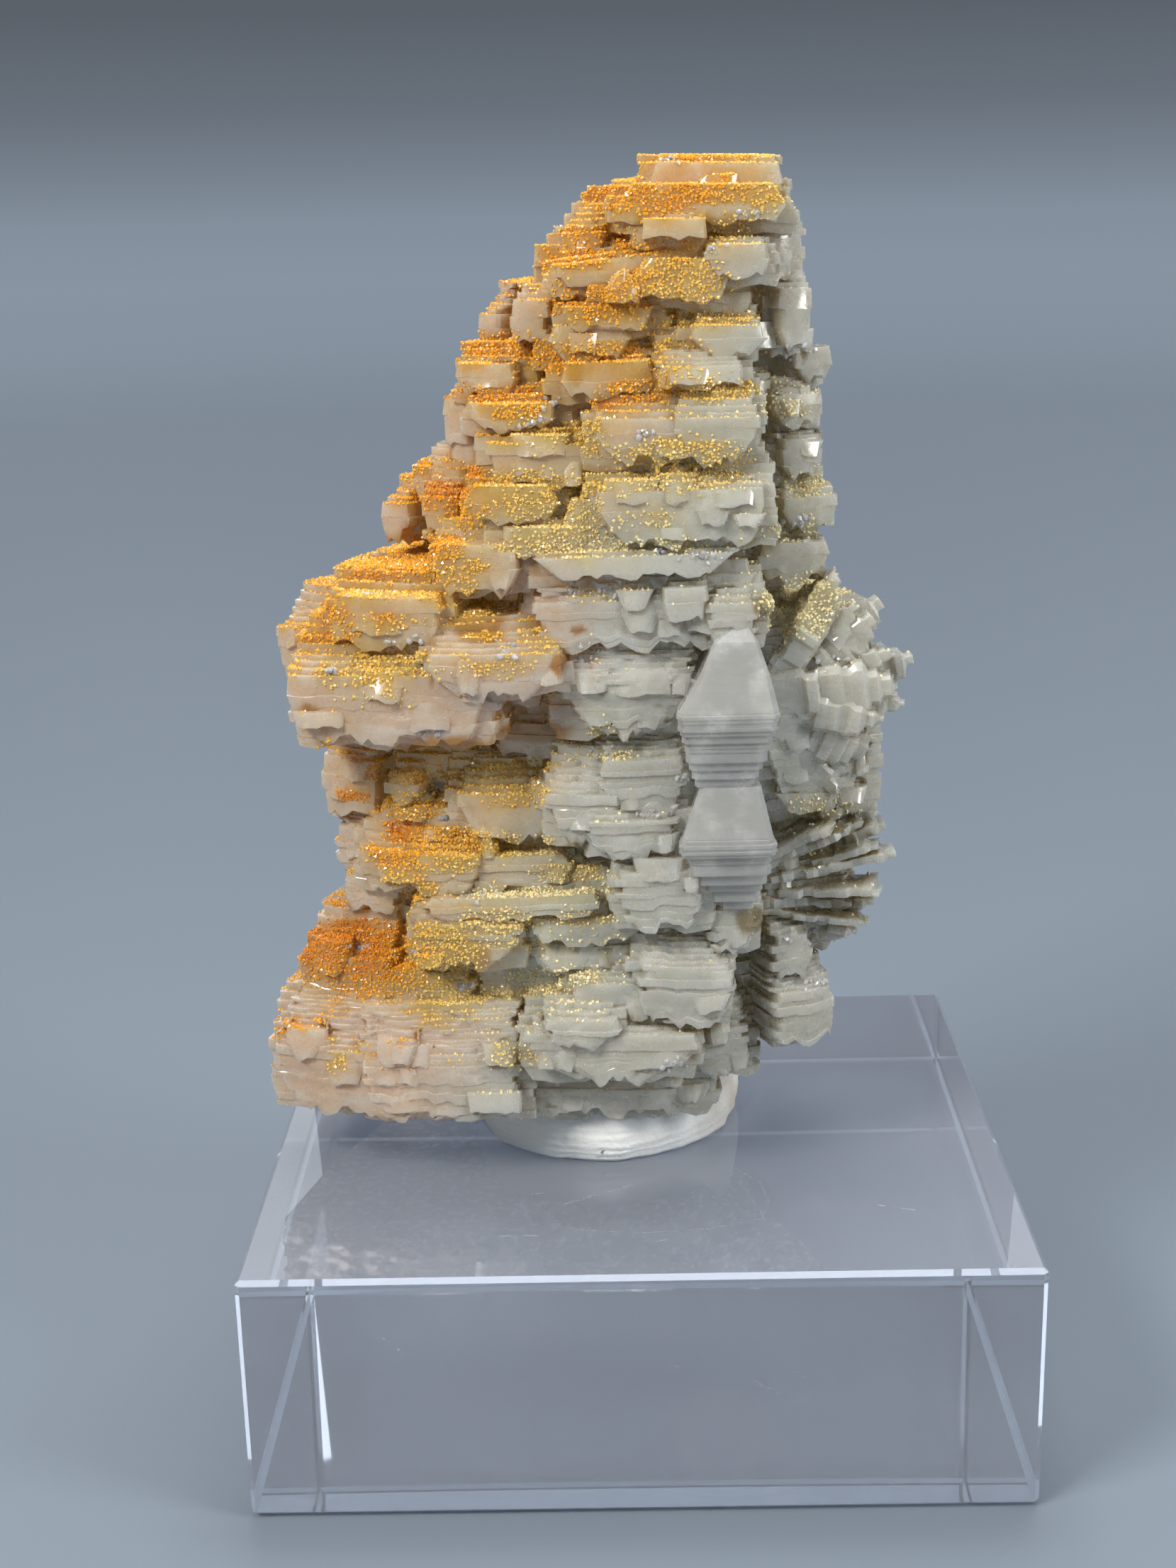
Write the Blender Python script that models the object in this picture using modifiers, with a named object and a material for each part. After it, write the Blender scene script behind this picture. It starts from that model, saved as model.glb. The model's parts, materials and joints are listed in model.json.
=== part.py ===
"""Wulfenite sugar on a stepped calcite cluster, fixed with putty to a clear acrylic block.

Metres, +Z up. X runs to the right and +Y to the back. The origin is the centre of the block's foot.
The tables below are in millimetres and are scaled by MM where a shape is made.
"""
import math
import random
from typing import NamedTuple

import bmesh
import bpy
from mathutils import Euler, Matrix, Vector

MM = 0.001
GAP = 0.3

# The block and the putty pad
BLOCK_WIDTH = 57.0
BLOCK_DEPTH = 51.0
BLOCK_HEIGHT = 19.0
BLOCK_BEVEL = 0.35
PAD_X = -2.2
PAD_Y = 2.2
PAD_RADIUS = 10.5
PAD_TOP = 28.6
PAD_SIDES = 16

# The pad's outline from its foot to its top, as shares of its height and of its radius
PAD_PROFILE = ((0.0, 0.93), (0.06, 0.99), (0.2, 1.02), (0.42, 0.99), (0.7, 0.93), (1.0, 0.84))
PAD_OVAL = 0.035
PAD_LUMP = 0.02
PAD_ROUGH = 0.008

# How a calcite lobe is shaped: the angles of its corners in plan, in degrees, and its levels as shares
LOBE_ANGLES = (-124, -74, -33, 29, 72, 122)
SMALL_LOBE_ANGLES = (-122, -58, -20, 50, 120)
CORNER_SWING = 9.0
CORNER_REACH = (0.93, 1.04)
SMALL_HEIGHT = 2.9
LARGE_HEIGHT = 5.6
KEEL_SHARE = 0.38
BROW_SHARE = 0.58
LOW_BROW = 0.97
LEDGE = 0.93
BOXINESS = 0.5
TURNED_DEPTH_SHARE = 0.45
STEP_REACH = (0.98, 1.02)
STEP_SLIP = 0.02
NOD = 2.5
SWAY = 1.5

# The sugar crusts on the ledges
CRUST_THICKNESS = 0.7
SLOPE_BACK_SHARE = 0.7

# The hidden body that the lobes grow from, and the rows of lobes round its sides and back
CORE_SIDES = 8
ROW_PITCH = 8.0
BACK_LOBE_HEIGHT = 10.0
BACK_START = 62
BACK_SWEEP = 236
WIDE_BODY = 17.0
BACK_INSET = 0.75

# A blade of a spray: its section, and its width along its length
BLADE_OUTLINE = ((0.7, -1.0), (1.0, -0.1), (0.6, 1.0), (-0.7, 1.0), (-1.0, 0.1), (-0.6, -1.0))
BLADE_PROFILE = ((0.0, 0.9), (0.6, 1.0), (0.85, 0.85), (1.0, 0.45))
BLADE_DEPTH = (8.0, 11.0)
BLADE_THICKNESS = (2.0, 2.8)

# A clear crystal's section, and how much shallower it is where it is narrow
CLEAR_OUTLINE = ((-1.0, 0.3), (-0.45, -0.8), (0.35, -1.0), (1.0, -0.2), (0.6, 1.0), (-0.7, 1.0))
CLEAR_NARROW_DEPTH = 0.55


class Lobe(NamedTuple):
    """One calcite crystal: a pile of thin steps, narrower at its keel and at its crest."""

    name: str
    x: float
    y: float
    low: float
    high: float
    width: float
    depth: float
    turn: float = 0.0
    keel: float = 0.6
    crest: float = 0.6
    lean: float = 0.0


class Blade(NamedTuple):
    """A thin crystal of the sprays, growing out from its root."""

    name: str
    x: float
    y: float
    z: float
    length: float
    rise: float
    turn: float
    depth: float
    thickness: float


def front(name, left, right, low, high, face, depth=12.0, turn=0.0, keel=0.6, crest=0.6, lean=0.0):
    """A lobe given by the left, right, low and high ends of its face and the Y that its face reaches.

    A turned lobe is made narrower, so that its corners still end at left and right.
    """
    turned = math.radians(abs(turn))
    width = (right - left - TURNED_DEPTH_SHARE * depth * math.sin(turned)) / math.cos(turned)
    width = max(width, (right - left) / 2)
    return Lobe(name, (left + right) / 2, face + depth / 2, low, high, width, depth, turn, keel, crest, lean)


FRONT_LOBES = [
    # Crown
    front("crown_block", 2.2, 11.4, 91.3, 94.0, -3, 10, keel=0.95, crest=0.86),
    front("crown_terrace", -0.2, 11.6, 89.6, 92.1, -4.8, 13, keel=0.92, crest=0.75),
    front("crown_left", -3.6, 1.0, 87.0, 90.6, -3.4, 10, turn=-20, crest=0.7),
    front("crown_right", 7.6, 11.8, 85.6, 90.8, -3.2, 10, turn=15, keel=0.85, crest=0.8),
    front("white_chunk", 1.6, 5.9, 88.4, 90.5, -6.3, 9, keel=0.9, crest=0.6),
    front("white_ledge", 5.8, 10.4, 85.8, 88.4, -6.4, 10, keel=0.7, crest=0.8),
    # High ledges
    front("long_terrace", -4.6, 6.4, 85.8, 88.5, -5.2, 12, keel=0.85, crest=0.7, lean=6),
    front("high_grey", -5.0, -0.2, 84.4, 87.0, -4.8, 10, turn=-12, crest=0.75),
    front("small_peak", -1.0, 1.3, 84.2, 86.4, -6.8, 6, keel=0.95, crest=0.25),
    front("sugar_shelf", 0.8, 7.8, 84.2, 87.0, -6.4, 12, keel=0.8, crest=0.6),
    front("left_block", -7.4, -3.5, 81.7, 85.4, -4.2, 10, turn=-15, keel=0.85, crest=0.8),
    front("orange_shelf", -4.4, 2.2, 82.3, 84.8, -6.2, 11, keel=0.8, crest=0.6),
    front("under_shelf", -5.2, 0.8, 80.3, 83.2, -6.0, 10, keel=0.7, crest=0.7),
    front("point_lobe", 4.0, 9.8, 80.3, 83.6, -7.0, 11, turn=8, keel=0.5, crest=0.7),
    front("right_body", 8.2, 12.8, 80.8, 87.0, -4.2, 11, turn=22, keel=0.8, crest=0.7),
    front("right_tip", 9.0, 14.4, 78.2, 81.6, -2.4, 10, turn=30, keel=0.5, crest=0.35),
    front("pale_block", 2.3, 8.3, 78.4, 80.9, -8.0, 11, keel=0.92, crest=0.85),
    front("grey_block", -4.5, 2.6, 77.9, 81.0, -7.0, 11, keel=0.85, crest=0.75),
    front("far_left_high", -9.4, -5.6, 80.4, 85.2, -0.6, 9, turn=-30, keel=0.8, crest=0.6),
    front("left_ledge", -11.6, -5.6, 77.6, 81.2, -4.2, 11, turn=-15, keel=0.7, crest=0.6),
    # Upper body
    front("left_column", -12.5, -8.2, 74.2, 78.2, -2.4, 10, turn=-22, keel=0.85, crest=0.75),
    front("gold_ledge", -10.8, -3.6, 75.6, 78.4, -6.2, 11, turn=-8, crest=0.65),
    front("left_grey", -12.2, -7.8, 70.8, 75.0, -2.6, 10, turn=-20, keel=0.8, crest=0.75),
    front("grey_lobe", -9.5, -1.8, 71.6, 76.6, -7.4, 12, turn=-6, keel=0.75, crest=0.62),
    front("centre_lobe", -2.0, 5.4, 73.5, 78.4, -9.0, 12, keel=0.6, crest=0.7),
    front("centre_tooth", 3.4, 9.4, 73.2, 78.7, -9.3, 12, keel=0.34, crest=0.8),
    front("golden_slope", -2.0, 9.8, 67.7, 74.6, -9.9, 14, keel=0.72, crest=0.5),
    front("right_stack_high", 8.4, 13.6, 75.2, 78.4, -4.0, 10, turn=20, keel=0.6, crest=0.8),
    front("right_stack_mid", 8.6, 13.8, 71.4, 75.4, -4.4, 10, turn=22, keel=0.6, crest=0.8),
    front("right_stack_low", 8.6, 14.8, 67.8, 71.9, -4.8, 11, turn=20, keel=0.7, crest=0.7),
    front("gold_lobe", -10.9, -3.8, 69.4, 72.5, -8.2, 12, turn=-8, keel=0.8, crest=0.6),
    front("sugar_tongue", -9.0, -2.6, 67.1, 70.4, -9.0, 12, keel=0.7, crest=0.6),
    front("gold_neck", -4.4, 0.0, 67.3, 71.6, -8.7, 12, keel=0.8, crest=0.6),
    front("left_round", -17.4, -12.8, 67.0, 71.2, -1.6, 9, turn=-30, keel=0.7, crest=0.6),
    front("left_bits", -15.0, -10.5, 70.3, 73.8, -1.4, 9, turn=-25, keel=0.8, crest=0.4),
    front("mid_left", -14.2, -9.6, 68.2, 72.6, -4.6, 11, turn=-18, keel=0.8, crest=0.6),
    front("gold_bell", -13.4, -6.2, 64.3, 69.2, -8.9, 12, turn=-10, keel=0.7, crest=0.62),
    front("cream_lip", -6.8, 8.2, 65.4, 67.6, -10.2, 14, keel=0.8, crest=0.9),
    front("right_chunk", 7.4, 14.2, 64.2, 68.2, -6.0, 12, turn=14, keel=0.8, crest=0.6),
    # Left shoulder
    front("shoulder_top", -20.6, -11.2, 60.8, 65.6, -9.2, 15, turn=-12, keel=0.9, crest=0.62),
    front("shoulder_body", -24.2, -8.6, 54.0, 62.6, -10.6, 18, turn=-8, keel=0.74, crest=0.6),
    front("shoulder_end", -24.4, -17.0, 56.8, 63.8, -5.4, 14, turn=-35, keel=0.7, crest=0.6),
    front("shoulder_tongue", -14.8, -5.0, 57.2, 62.4, -11.4, 14, turn=4, keel=0.6, crest=0.7),
    front("shoulder_foot", -22.4, -8.4, 53.6, 56.8, -9.4, 16, turn=-8, keel=0.92, crest=0.8),
    front("amber_slabs", -9.4, -1.0, 53.6, 57.8, -5.4, 10, keel=0.9, crest=0.8),
    # Centre
    front("centre_mass", -6.7, 8.7, 60.4, 66.2, -9.7, 15, keel=0.78, crest=0.9),
    front("centre_keel", -4.8, 4.6, 53.9, 61.2, -9.9, 14, keel=0.3, crest=0.95),
    front("centre_block", 2.6, 5.8, 62.3, 65.7, -10.6, 10, keel=0.9, crest=0.8),
    front("round_crystal", 5.6, 9.2, 60.7, 65.8, -10.5, 10, keel=0.8, crest=0.5),
    front("upper_spray_body", 8.6, 17.4, 46.6, 61.8, -6.4, 12, turn=12, keel=0.45, crest=0.6),
    front("shield_left", -5.9, 0.2, 46.0, 52.6, -10.6, 13, turn=-8, keel=0.55, crest=0.7),
    front("shield_right", -2.2, 4.0, 48.0, 54.2, -10.4, 12, keel=0.6, crest=0.7),
    front("shield_low", -3.2, 3.4, 45.2, 49.8, -11.4, 12, keel=0.7, crest=0.7),
    # Central column and the low right
    front("column_high", -1.1, 5.0, 39.8, 47.0, -12.2, 15, keel=0.68, crest=0.6),
    front("column_low", 0.4, 7.4, 32.2, 39.8, -12.0, 15, keel=0.8, crest=0.75),
    front("column_side", 3.8, 8.6, 37.6, 43.0, -10.8, 13, turn=10, keel=0.8, crest=0.7),
    front("low_right", 6.8, 13.9, 29.2, 35.6, -9.2, 14, turn=24, keel=0.8, crest=0.8),
    front("low_right_high", 7.2, 12.6, 34.0, 39.8, -8.6, 13, turn=22, keel=0.8, crest=0.6),
    front("lower_spray_body", 7.8, 16.0, 35.8, 47.2, -6.0, 12, turn=14, keel=0.6, crest=0.6),
    # Left column
    front("column_left_high", -22.4, -15.4, 46.2, 53.4, -3.8, 12, turn=-28, keel=0.85, crest=0.9),
    front("column_left_low", -21.6, -15.0, 41.6, 47.2, -3.6, 12, turn=-28, keel=0.8, crest=0.85),
    front("orange_slope", -18.2, -11.0, 44.2, 49.6, -6.0, 12, turn=-14, keel=0.9, crest=0.55),
    front("amber_ledge", -17.6, -8.8, 49.0, 52.8, -4.4, 12, turn=-8, keel=0.9, crest=0.8),
    front("bay_lobe", -12.8, -5.0, 45.6, 51.4, -8.2, 13, turn=-4, keel=0.62, crest=0.75),
    front("tiny_crystal", -7.6, -6.1, 50.6, 53.2, -6.2, 4, keel=0.95, crest=0.4),
    front("bullet", -11.0, -10.0, 44.0, 46.6, -8.6, 3, keel=0.9, crest=0.35),
    front("waist_slope", -20.0, -9.4, 41.6, 46.4, -8.4, 14, turn=-12, keel=0.9, crest=0.5),
    front("waist_left", -20.6, -13.8, 39.0, 43.2, -5.8, 13, turn=-26, keel=0.75, crest=0.7),
    front("waist_right", -11.8, -4.4, 41.8, 45.6, -8.8, 13, keel=0.9, crest=0.6),
    front("waist_end", -6.0, -0.6, 40.4, 44.6, -8.4, 12, keel=0.9, crest=0.6),
    front("waist_lip", -15.2, -1.8, 40.0, 42.0, -10.4, 15, turn=-3, keel=0.8, crest=0.85),
    front("belly_lobe", -16.2, -7.4, 36.4, 41.2, -10.7, 15, turn=-6, keel=0.5, crest=0.9),
    front("belly_right", -7.6, 0.6, 38.0, 40.9, -10.2, 14, keel=0.7, crest=0.9),
    front("belly_low", -7.4, 0.4, 35.6, 38.8, -9.6, 13, keel=0.8, crest=0.8),
    front("belly_under", -11.6, -4.6, 32.6, 37.2, -8.4, 12, keel=0.95, crest=0.9),
    # Foot
    front("dome", -24.8, -15.4, 31.6, 38.8, -7.4, 15, turn=-18, keel=0.95, crest=0.26),
    front("foot_slope", -20.4, -10.8, 32.0, 37.8, -8.4, 16, turn=-8, keel=0.95, crest=0.45),
    front("foot_slab_left", -26.4, -13.0, 24.6, 33.2, -10.6, 20, turn=-14, keel=0.72, crest=0.84),
    front("foot_slab", -20.6, -8.2, 24.6, 33.0, -11.4, 18, turn=-2, keel=0.82, crest=0.9),
    front("shell_back", -4.8, 1.6, 31.6, 37.8, -11.2, 14, keel=0.7, crest=0.7),
    front("fan_shell", -8.1, 4.6, 28.0, 34.0, -12.7, 17, keel=0.5, crest=0.7),
    front("fan_inner", -6.4, -1.2, 30.9, 33.7, -13.3, 10, keel=0.6, crest=0.8),
    front("foot_plates", -10.0, 5.4, 23.8, 28.6, -9.2, 16, keel=0.8, crest=0.95),
    front("foot_taper", 1.8, 7.8, 26.6, 32.6, -9.4, 15, turn=14, keel=0.5, crest=0.95),
]

# The two clear crystals in front, as heights with the left and right ends of each section
CLEAR_CRYSTALS = {
    "clear_upper": (
        (50.4, 4.8, 8.7),
        (55.1, 3.3, 10.7),
        (55.9, 3.3, 10.7),
        (58.6, 5.0, 10.0),
        (60.9, 6.1, 9.2),
        (61.8, 7.6, 8.6),
    ),
    "clear_lower": ((40.8, 7.0, 8.7), (45.6, 3.4, 10.5), (46.6, 3.4, 10.5), (50.4, 5.0, 9.4)),
}
CLEAR_FACE_Y = -13.2
CLEAR_DEPTH = 9.0

# The two sprays at the right, as the root of each and the fan that its blades cover
UPPER_SPRAY_ROOT = (9.6, 1.0, 54.6)
LOWER_SPRAY_ROOT = (9.5, 0.5, 41.0)

# Half outline of the cluster at each height: left end, right end, front and back
BODY_SECTIONS = [
    (25.5, -14.0, 3.0, -4.0, 8.0),
    (30.0, -20.0, 8.0, -6.0, 11.0),
    (38.0, -16.5, 8.5, -5.0, 12.0),
    (47.0, -17.5, 9.0, -4.0, 12.5),
    (56.0, -18.0, 10.0, -5.0, 13.0),
    (64.0, -15.0, 10.5, -4.5, 12.0),
    (73.0, -9.5, 10.0, -3.5, 10.5),
    (83.0, -5.0, 9.5, -2.0, 8.5),
    (91.5, 1.0, 9.5, -0.5, 6.0),
]

# Each crust with the lobe whose slope it lies on
CRUSTED = {
    "wulfenite_crust_crown": "crown_terrace",
    "wulfenite_crust_high_ledge": "long_terrace",
    "wulfenite_crust_left_ledge": "left_ledge",
    "wulfenite_crust_centre": "golden_slope",
    "wulfenite_crust_bell": "gold_bell",
    "wulfenite_crust_shoulder_top": "shoulder_top",
    "wulfenite_crust_shoulder_face": "shoulder_body",
    "wulfenite_crust_hollow": "orange_slope",
    "wulfenite_crust_waist": "waist_slope",
    "wulfenite_crust_dome": "dome",
    "wulfenite_crust_foot": "foot_slope",
}


def clear_scene():
    """Start from an empty file."""
    for obj in list(bpy.data.objects):
        bpy.data.objects.remove(obj, do_unlink=True)


def collection(name):
    """A new collection linked to the scene."""
    made = bpy.data.collections.new(name)
    bpy.context.scene.collection.children.link(made)
    return made


def material(name, colour, roughness, transmission=0.0):
    """A plain Principled material."""
    made = bpy.data.materials.new(name)
    made.use_nodes = True
    shader = made.node_tree.nodes["Principled BSDF"]
    shader.inputs["Base Color"].default_value = (*colour, 1.0)
    shader.inputs["Roughness"].default_value = roughness
    shader.inputs["Metallic"].default_value = 0.0
    shader.inputs["Transmission Weight"].default_value = transmission
    return made


def add_object(name, bm, group, finish=None):
    """Turn a bmesh, whose lengths are in millimetres, into an object in metres."""
    bmesh.ops.recalc_face_normals(bm, faces=bm.faces)
    bmesh.ops.scale(bm, verts=bm.verts, vec=(MM, MM, MM))
    mesh = bpy.data.meshes.new(name)
    bm.to_mesh(mesh)
    bm.free()
    obj = bpy.data.objects.new(name, mesh)
    group.objects.link(obj)
    if finish:
        mesh.materials.append(finish)
    return obj


def pile(outline, levels):
    """Loft an outline of unit corners through levels of (height, scale x, scale y, shift x, shift y)."""
    bm = bmesh.new()
    rings = []
    for height, wide, deep, shift_x, shift_y in levels:
        rings.append([bm.verts.new((x * wide + shift_x, y * deep + shift_y, height)) for x, y in outline])
    bm.faces.new(reversed(rings[0]))
    bm.faces.new(rings[-1])
    count = len(outline)
    for below, above in zip(rings, rings[1:]):
        for k in range(count):
            after = (k + 1) % count
            bm.faces.new((below[k], below[after], above[after], above[k]))
    return bm


def boxy(value):
    """Push a sine or cosine outwards, so that a round plan gets flat sides."""
    return math.copysign(abs(value) ** BOXINESS, value)


def lobe_outline(lobe, rng):
    """The plan of a lobe: a broad front, two cut corners and a narrower back."""
    corners = []
    small = lobe.high - lobe.low < SMALL_HEIGHT
    for middle in SMALL_LOBE_ANGLES if small else LOBE_ANGLES:
        angle = math.radians(middle + rng.uniform(-CORNER_SWING, CORNER_SWING))
        reach = rng.uniform(*CORNER_REACH)
        corners.append((boxy(math.sin(angle)) * reach, -boxy(math.cos(angle)) * reach))
    return corners


def lobe_profile(lobe):
    """A lobe's outline from keel to crest, as (share of its height, share of its width)."""
    tall = lobe.high - lobe.low
    if tall < SMALL_HEIGHT:
        return [(0.0, lobe.keel), (BROW_SHARE, 1.0), (1.0, lobe.crest)]
    if tall < LARGE_HEIGHT:
        return [(0.0, lobe.keel), (KEEL_SHARE, 1.0), (BROW_SHARE, LOW_BROW), (1.0, lobe.crest)]
    return [(0.0, lobe.keel), (KEEL_SHARE, 1.0), (KEEL_SHARE, LEDGE), (BROW_SHARE, LEDGE), (1.0, lobe.crest)]


def lobe_levels(lobe, rng, grow):
    """The levels of a lobe, each a little out of line with the one below. The crest leans to the back."""
    tall = lobe.high - lobe.low
    profile = lobe_profile(lobe)
    levels = []
    for k, (t, share) in enumerate(profile):
        if k == len(profile) - 1:
            lift = grow
        elif t == profile[k + 1][0]:
            lift = math.copysign(grow, share - profile[k + 1][1])
        else:
            lift = levels[-1][0] - lobe.low - t * tall if k and t == profile[k - 1][0] else -grow * (k == 0)
        loose = rng.uniform(*STEP_REACH)
        wide = lobe.width / 2 * share * loose + grow
        deep = lobe.depth / 2 * share * loose + grow
        back = max(0.0, t - BROW_SHARE) * (1 - lobe.crest) * lobe.depth * SLOPE_BACK_SHARE
        slip = rng.uniform(-STEP_SLIP, STEP_SLIP) * lobe.width
        levels.append((lobe.low + t * tall + lift, wide, deep, slip, back))
    return levels


def lobe_matrix(lobe, rng):
    """Set a lobe at its place, turned to its side and tipped a little."""
    middle = Vector((lobe.x, lobe.y, (lobe.low + lobe.high) / 2))
    tip = Euler(
        (
            math.radians(rng.uniform(-NOD, NOD)),
            math.radians(-lobe.lean + rng.uniform(-SWAY, SWAY)),
            math.radians(lobe.turn),
        )
    )
    place = Matrix.Translation(middle) @ tip.to_matrix().to_4x4()
    return place @ Matrix.Translation((0, 0, -middle.z))


def lobe_mesh(lobe, grow=0.0, slope_only=False):
    """A lobe's solid, or only the part above the brow of a sugared one."""
    rng = random.Random(lobe.name)
    outline = lobe_outline(lobe, rng)
    levels = lobe_levels(lobe, rng, grow)
    matrix = lobe_matrix(lobe, rng)
    bm = pile(outline, levels[-2:] if slope_only else levels)
    bmesh.ops.transform(bm, matrix=matrix, verts=bm.verts)
    return bm


def blade_mesh(blade, grow=0.0):
    """A blade of a spray: a thin six-sided plate that narrows to a blunt tip."""
    rng = random.Random(blade.name)
    thin = blade.thickness / 2
    deep = blade.depth / 2
    levels = []
    for share, width in BLADE_PROFILE:
        end = grow if share == 1.0 else 0.0
        wide = thin * width * rng.uniform(0.9, 1.1) + grow
        levels.append((share * blade.length + end, wide, deep * width + grow, 0.0, rng.uniform(-0.4, 0.4)))
    bm = pile(BLADE_OUTLINE, levels)
    point = Euler((0, math.radians(90 - blade.rise), math.radians(blade.turn))).to_matrix().to_4x4()
    place = Matrix.Translation((blade.x, blade.y, blade.z))
    bmesh.ops.transform(bm, matrix=place @ point, verts=bm.verts)
    return bm


def spray(name, root, count, rise_from, rise_to, shortest, longest):
    """Blades fanned up and down from one root, each turned a little to the front or the back."""
    rng = random.Random(name)
    blades = []
    for k in range(count):
        share = k / (count - 1)
        rise = rise_from + (rise_to - rise_from) * share + rng.uniform(-5, 5)
        bulge = math.sin(math.pi * min(1, share + 0.15))
        length = shortest + (longest - shortest) * bulge + rng.uniform(-0.6, 0.6)
        blades.append(
            Blade(
                f"{name}_{k}",
                root[0] + rng.uniform(-1, 1),
                root[1] + rng.uniform(-2.5, 2.0),
                root[2] + rng.uniform(-1, 1),
                length,
                rise,
                rng.uniform(-22, 22),
                rng.uniform(*BLADE_DEPTH),
                rng.uniform(*BLADE_THICKNESS),
            )
        )
    return blades


def clear_mesh(sections, grow=0.0):
    """A clear crystal: a six-sided barrel through its sections."""
    levels = []
    widest = max(right - left for _, left, right in sections)
    for k, (height, left, right) in enumerate(sections):
        end = grow * ((k == len(sections) - 1) - (k == 0))
        narrow = 1 - (right - left) / widest
        deep = CLEAR_DEPTH / 2 * (1 - narrow * (1 - CLEAR_NARROW_DEPTH))
        middle_y = CLEAR_FACE_Y + CLEAR_DEPTH / 2
        levels.append((height + end, (right - left) / 2 + grow, deep + grow, (left + right) / 2, middle_y))
    return pile(CLEAR_OUTLINE, levels)


def between(sections, height, column):
    """Read one column of the body's sections at a height, in a straight line between the sections."""
    for low, high in zip(sections, sections[1:]):
        if low[0] <= height <= high[0]:
            share = (height - low[0]) / (high[0] - low[0])
            return low[column] + (high[column] - low[column]) * share
    return sections[0][column] if height < sections[0][0] else sections[-1][column]


def body_mesh(grow=0.0):
    """The hidden body that the lobes stand on, as a loft through its sections."""
    corners = []
    for k in range(CORE_SIDES):
        angle = 2 * math.pi * (k + 0.5) / CORE_SIDES
        corners.append((math.cos(angle), math.sin(angle)))
    levels = []
    for height, left, right, near, far in BODY_SECTIONS:
        middle_x = (left + right) / 2
        middle_y = (near + far) / 2
        levels.append((height, (right - left) / 2 + grow, (far - near) / 2 + grow, middle_x, middle_y))
    return pile(corners, levels)


def back_lobes():
    """Rows of lobes round the sides and the back, on the body's own outline."""
    rng = random.Random("back")
    lobes = []
    height = BODY_SECTIONS[0][0] + 1.0
    row = 0
    while height + BACK_LOBE_HEIGHT < BODY_SECTIONS[-1][0] + 3.0:
        middle = height + BACK_LOBE_HEIGHT / 2
        left, right, near, far = (between(BODY_SECTIONS, middle, column) for column in (1, 2, 3, 4))
        across = right - left
        count = 3 if across > WIDE_BODY else 2
        for k in range(count):
            share = (k + 0.5 + 0.25 * (row % 2) - 0.12) / count
            angle = math.radians(BACK_START + share * BACK_SWEEP)
            x = (left + right) / 2 + math.sin(angle) * across / 2 * BACK_INSET
            y = (near + far) / 2 - math.cos(angle) * (far - near) / 2 * BACK_INSET
            width = across / count * rng.uniform(1.15, 1.45) + 2.5
            tall = BACK_LOBE_HEIGHT * rng.uniform(0.85, 1.15)
            lobes.append(
                Lobe(
                    f"back_{row}_{k}",
                    x,
                    y,
                    height + rng.uniform(-0.8, 0.8),
                    height + tall,
                    width,
                    rng.uniform(8.5, 11.0),
                    math.degrees(angle),
                    rng.uniform(0.5, 0.75),
                    rng.uniform(0.5, 0.7),
                    rng.uniform(-4, 4),
                )
            )
        height += ROW_PITCH
        row += 1
    return lobes


def calcite_meshes(grow=0.0):
    """Every crystal of the cluster as its own solid, by name."""
    made = {"body": body_mesh(grow)}
    for lobe in FRONT_LOBES + back_lobes():
        made[lobe.name] = lobe_mesh(lobe, grow)
    for name, sections in CLEAR_CRYSTALS.items():
        made[name] = clear_mesh(sections, grow)
    blades = spray("upper_spray", UPPER_SPRAY_ROOT, 8, 66, -48, 10.4, 12.4)
    blades += spray("lower_spray", LOWER_SPRAY_ROOT, 6, 42, -32, 8.4, 10.6)
    for blade in blades:
        made[blade.name] = blade_mesh(blade, grow)
    return made


def biggest_island(obj):
    """Keep only the largest connected part of a mesh, without sealed voids or loose chips."""
    bm = bmesh.new()
    bm.from_mesh(obj.data)
    left = set(bm.verts)
    islands = []
    while left:
        stack = [left.pop()]
        island = list(stack)
        while stack:
            vert = stack.pop()
            for edge in vert.link_edges:
                other = edge.other_vert(vert)
                if other in left:
                    left.remove(other)
                    island.append(other)
                    stack.append(other)
        islands.append(island)
    islands.sort(key=island_span, reverse=True)
    for island in islands[1:]:
        bmesh.ops.delete(bm, geom=island, context="VERTS")
    bmesh.ops.triangulate(bm, faces=bm.faces)
    bm.to_mesh(obj.data)
    bm.free()


def island_span(island):
    """The diagonal of an island's box."""
    spans = [max(v.co[k] for v in island) - min(v.co[k] for v in island) for k in range(3)]
    return Vector(spans).length


def settle(obj):
    """Replace an object's mesh with its modified one, and drop its modifiers."""
    evaluated = obj.evaluated_get(bpy.context.evaluated_depsgraph_get())
    mesh = bpy.data.meshes.new_from_object(evaluated)
    obj.modifiers.clear()
    obj.data = mesh


def combine(obj, operation, cutters):
    """Join a collection of solids to an object, or cut them from it."""
    modifier = obj.modifiers.new(operation.lower(), "BOOLEAN")
    modifier.operation = operation
    modifier.solver = "MANIFOLD"
    modifier.operand_type = "COLLECTION"
    modifier.collection = cutters
    settle(obj)
    biggest_island(obj)


def as_cutter(obj):
    """Hide a helper solid from the render and draw it as wire."""
    obj.hide_render = True
    obj.display_type = "WIRE"


def build_calcite(parts, finish):
    """The calcite cluster, as one solid."""
    helpers = collection("calcite_crystals")
    meshes = calcite_meshes()
    cluster = add_object("calcite_cluster", meshes.pop("body"), parts, finish)
    for name, bm in meshes.items():
        as_cutter(add_object(name, bm, helpers))
    combine(cluster, "UNION", helpers)


def build_clearance():
    """Every crystal grown by the gap, to cut the crusts and the putty clear of the cluster."""
    clearance = collection("clearance")
    for name, bm in calcite_meshes(GAP).items():
        as_cutter(add_object(f"clear_of_{name}", bm, clearance))
    return clearance


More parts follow.
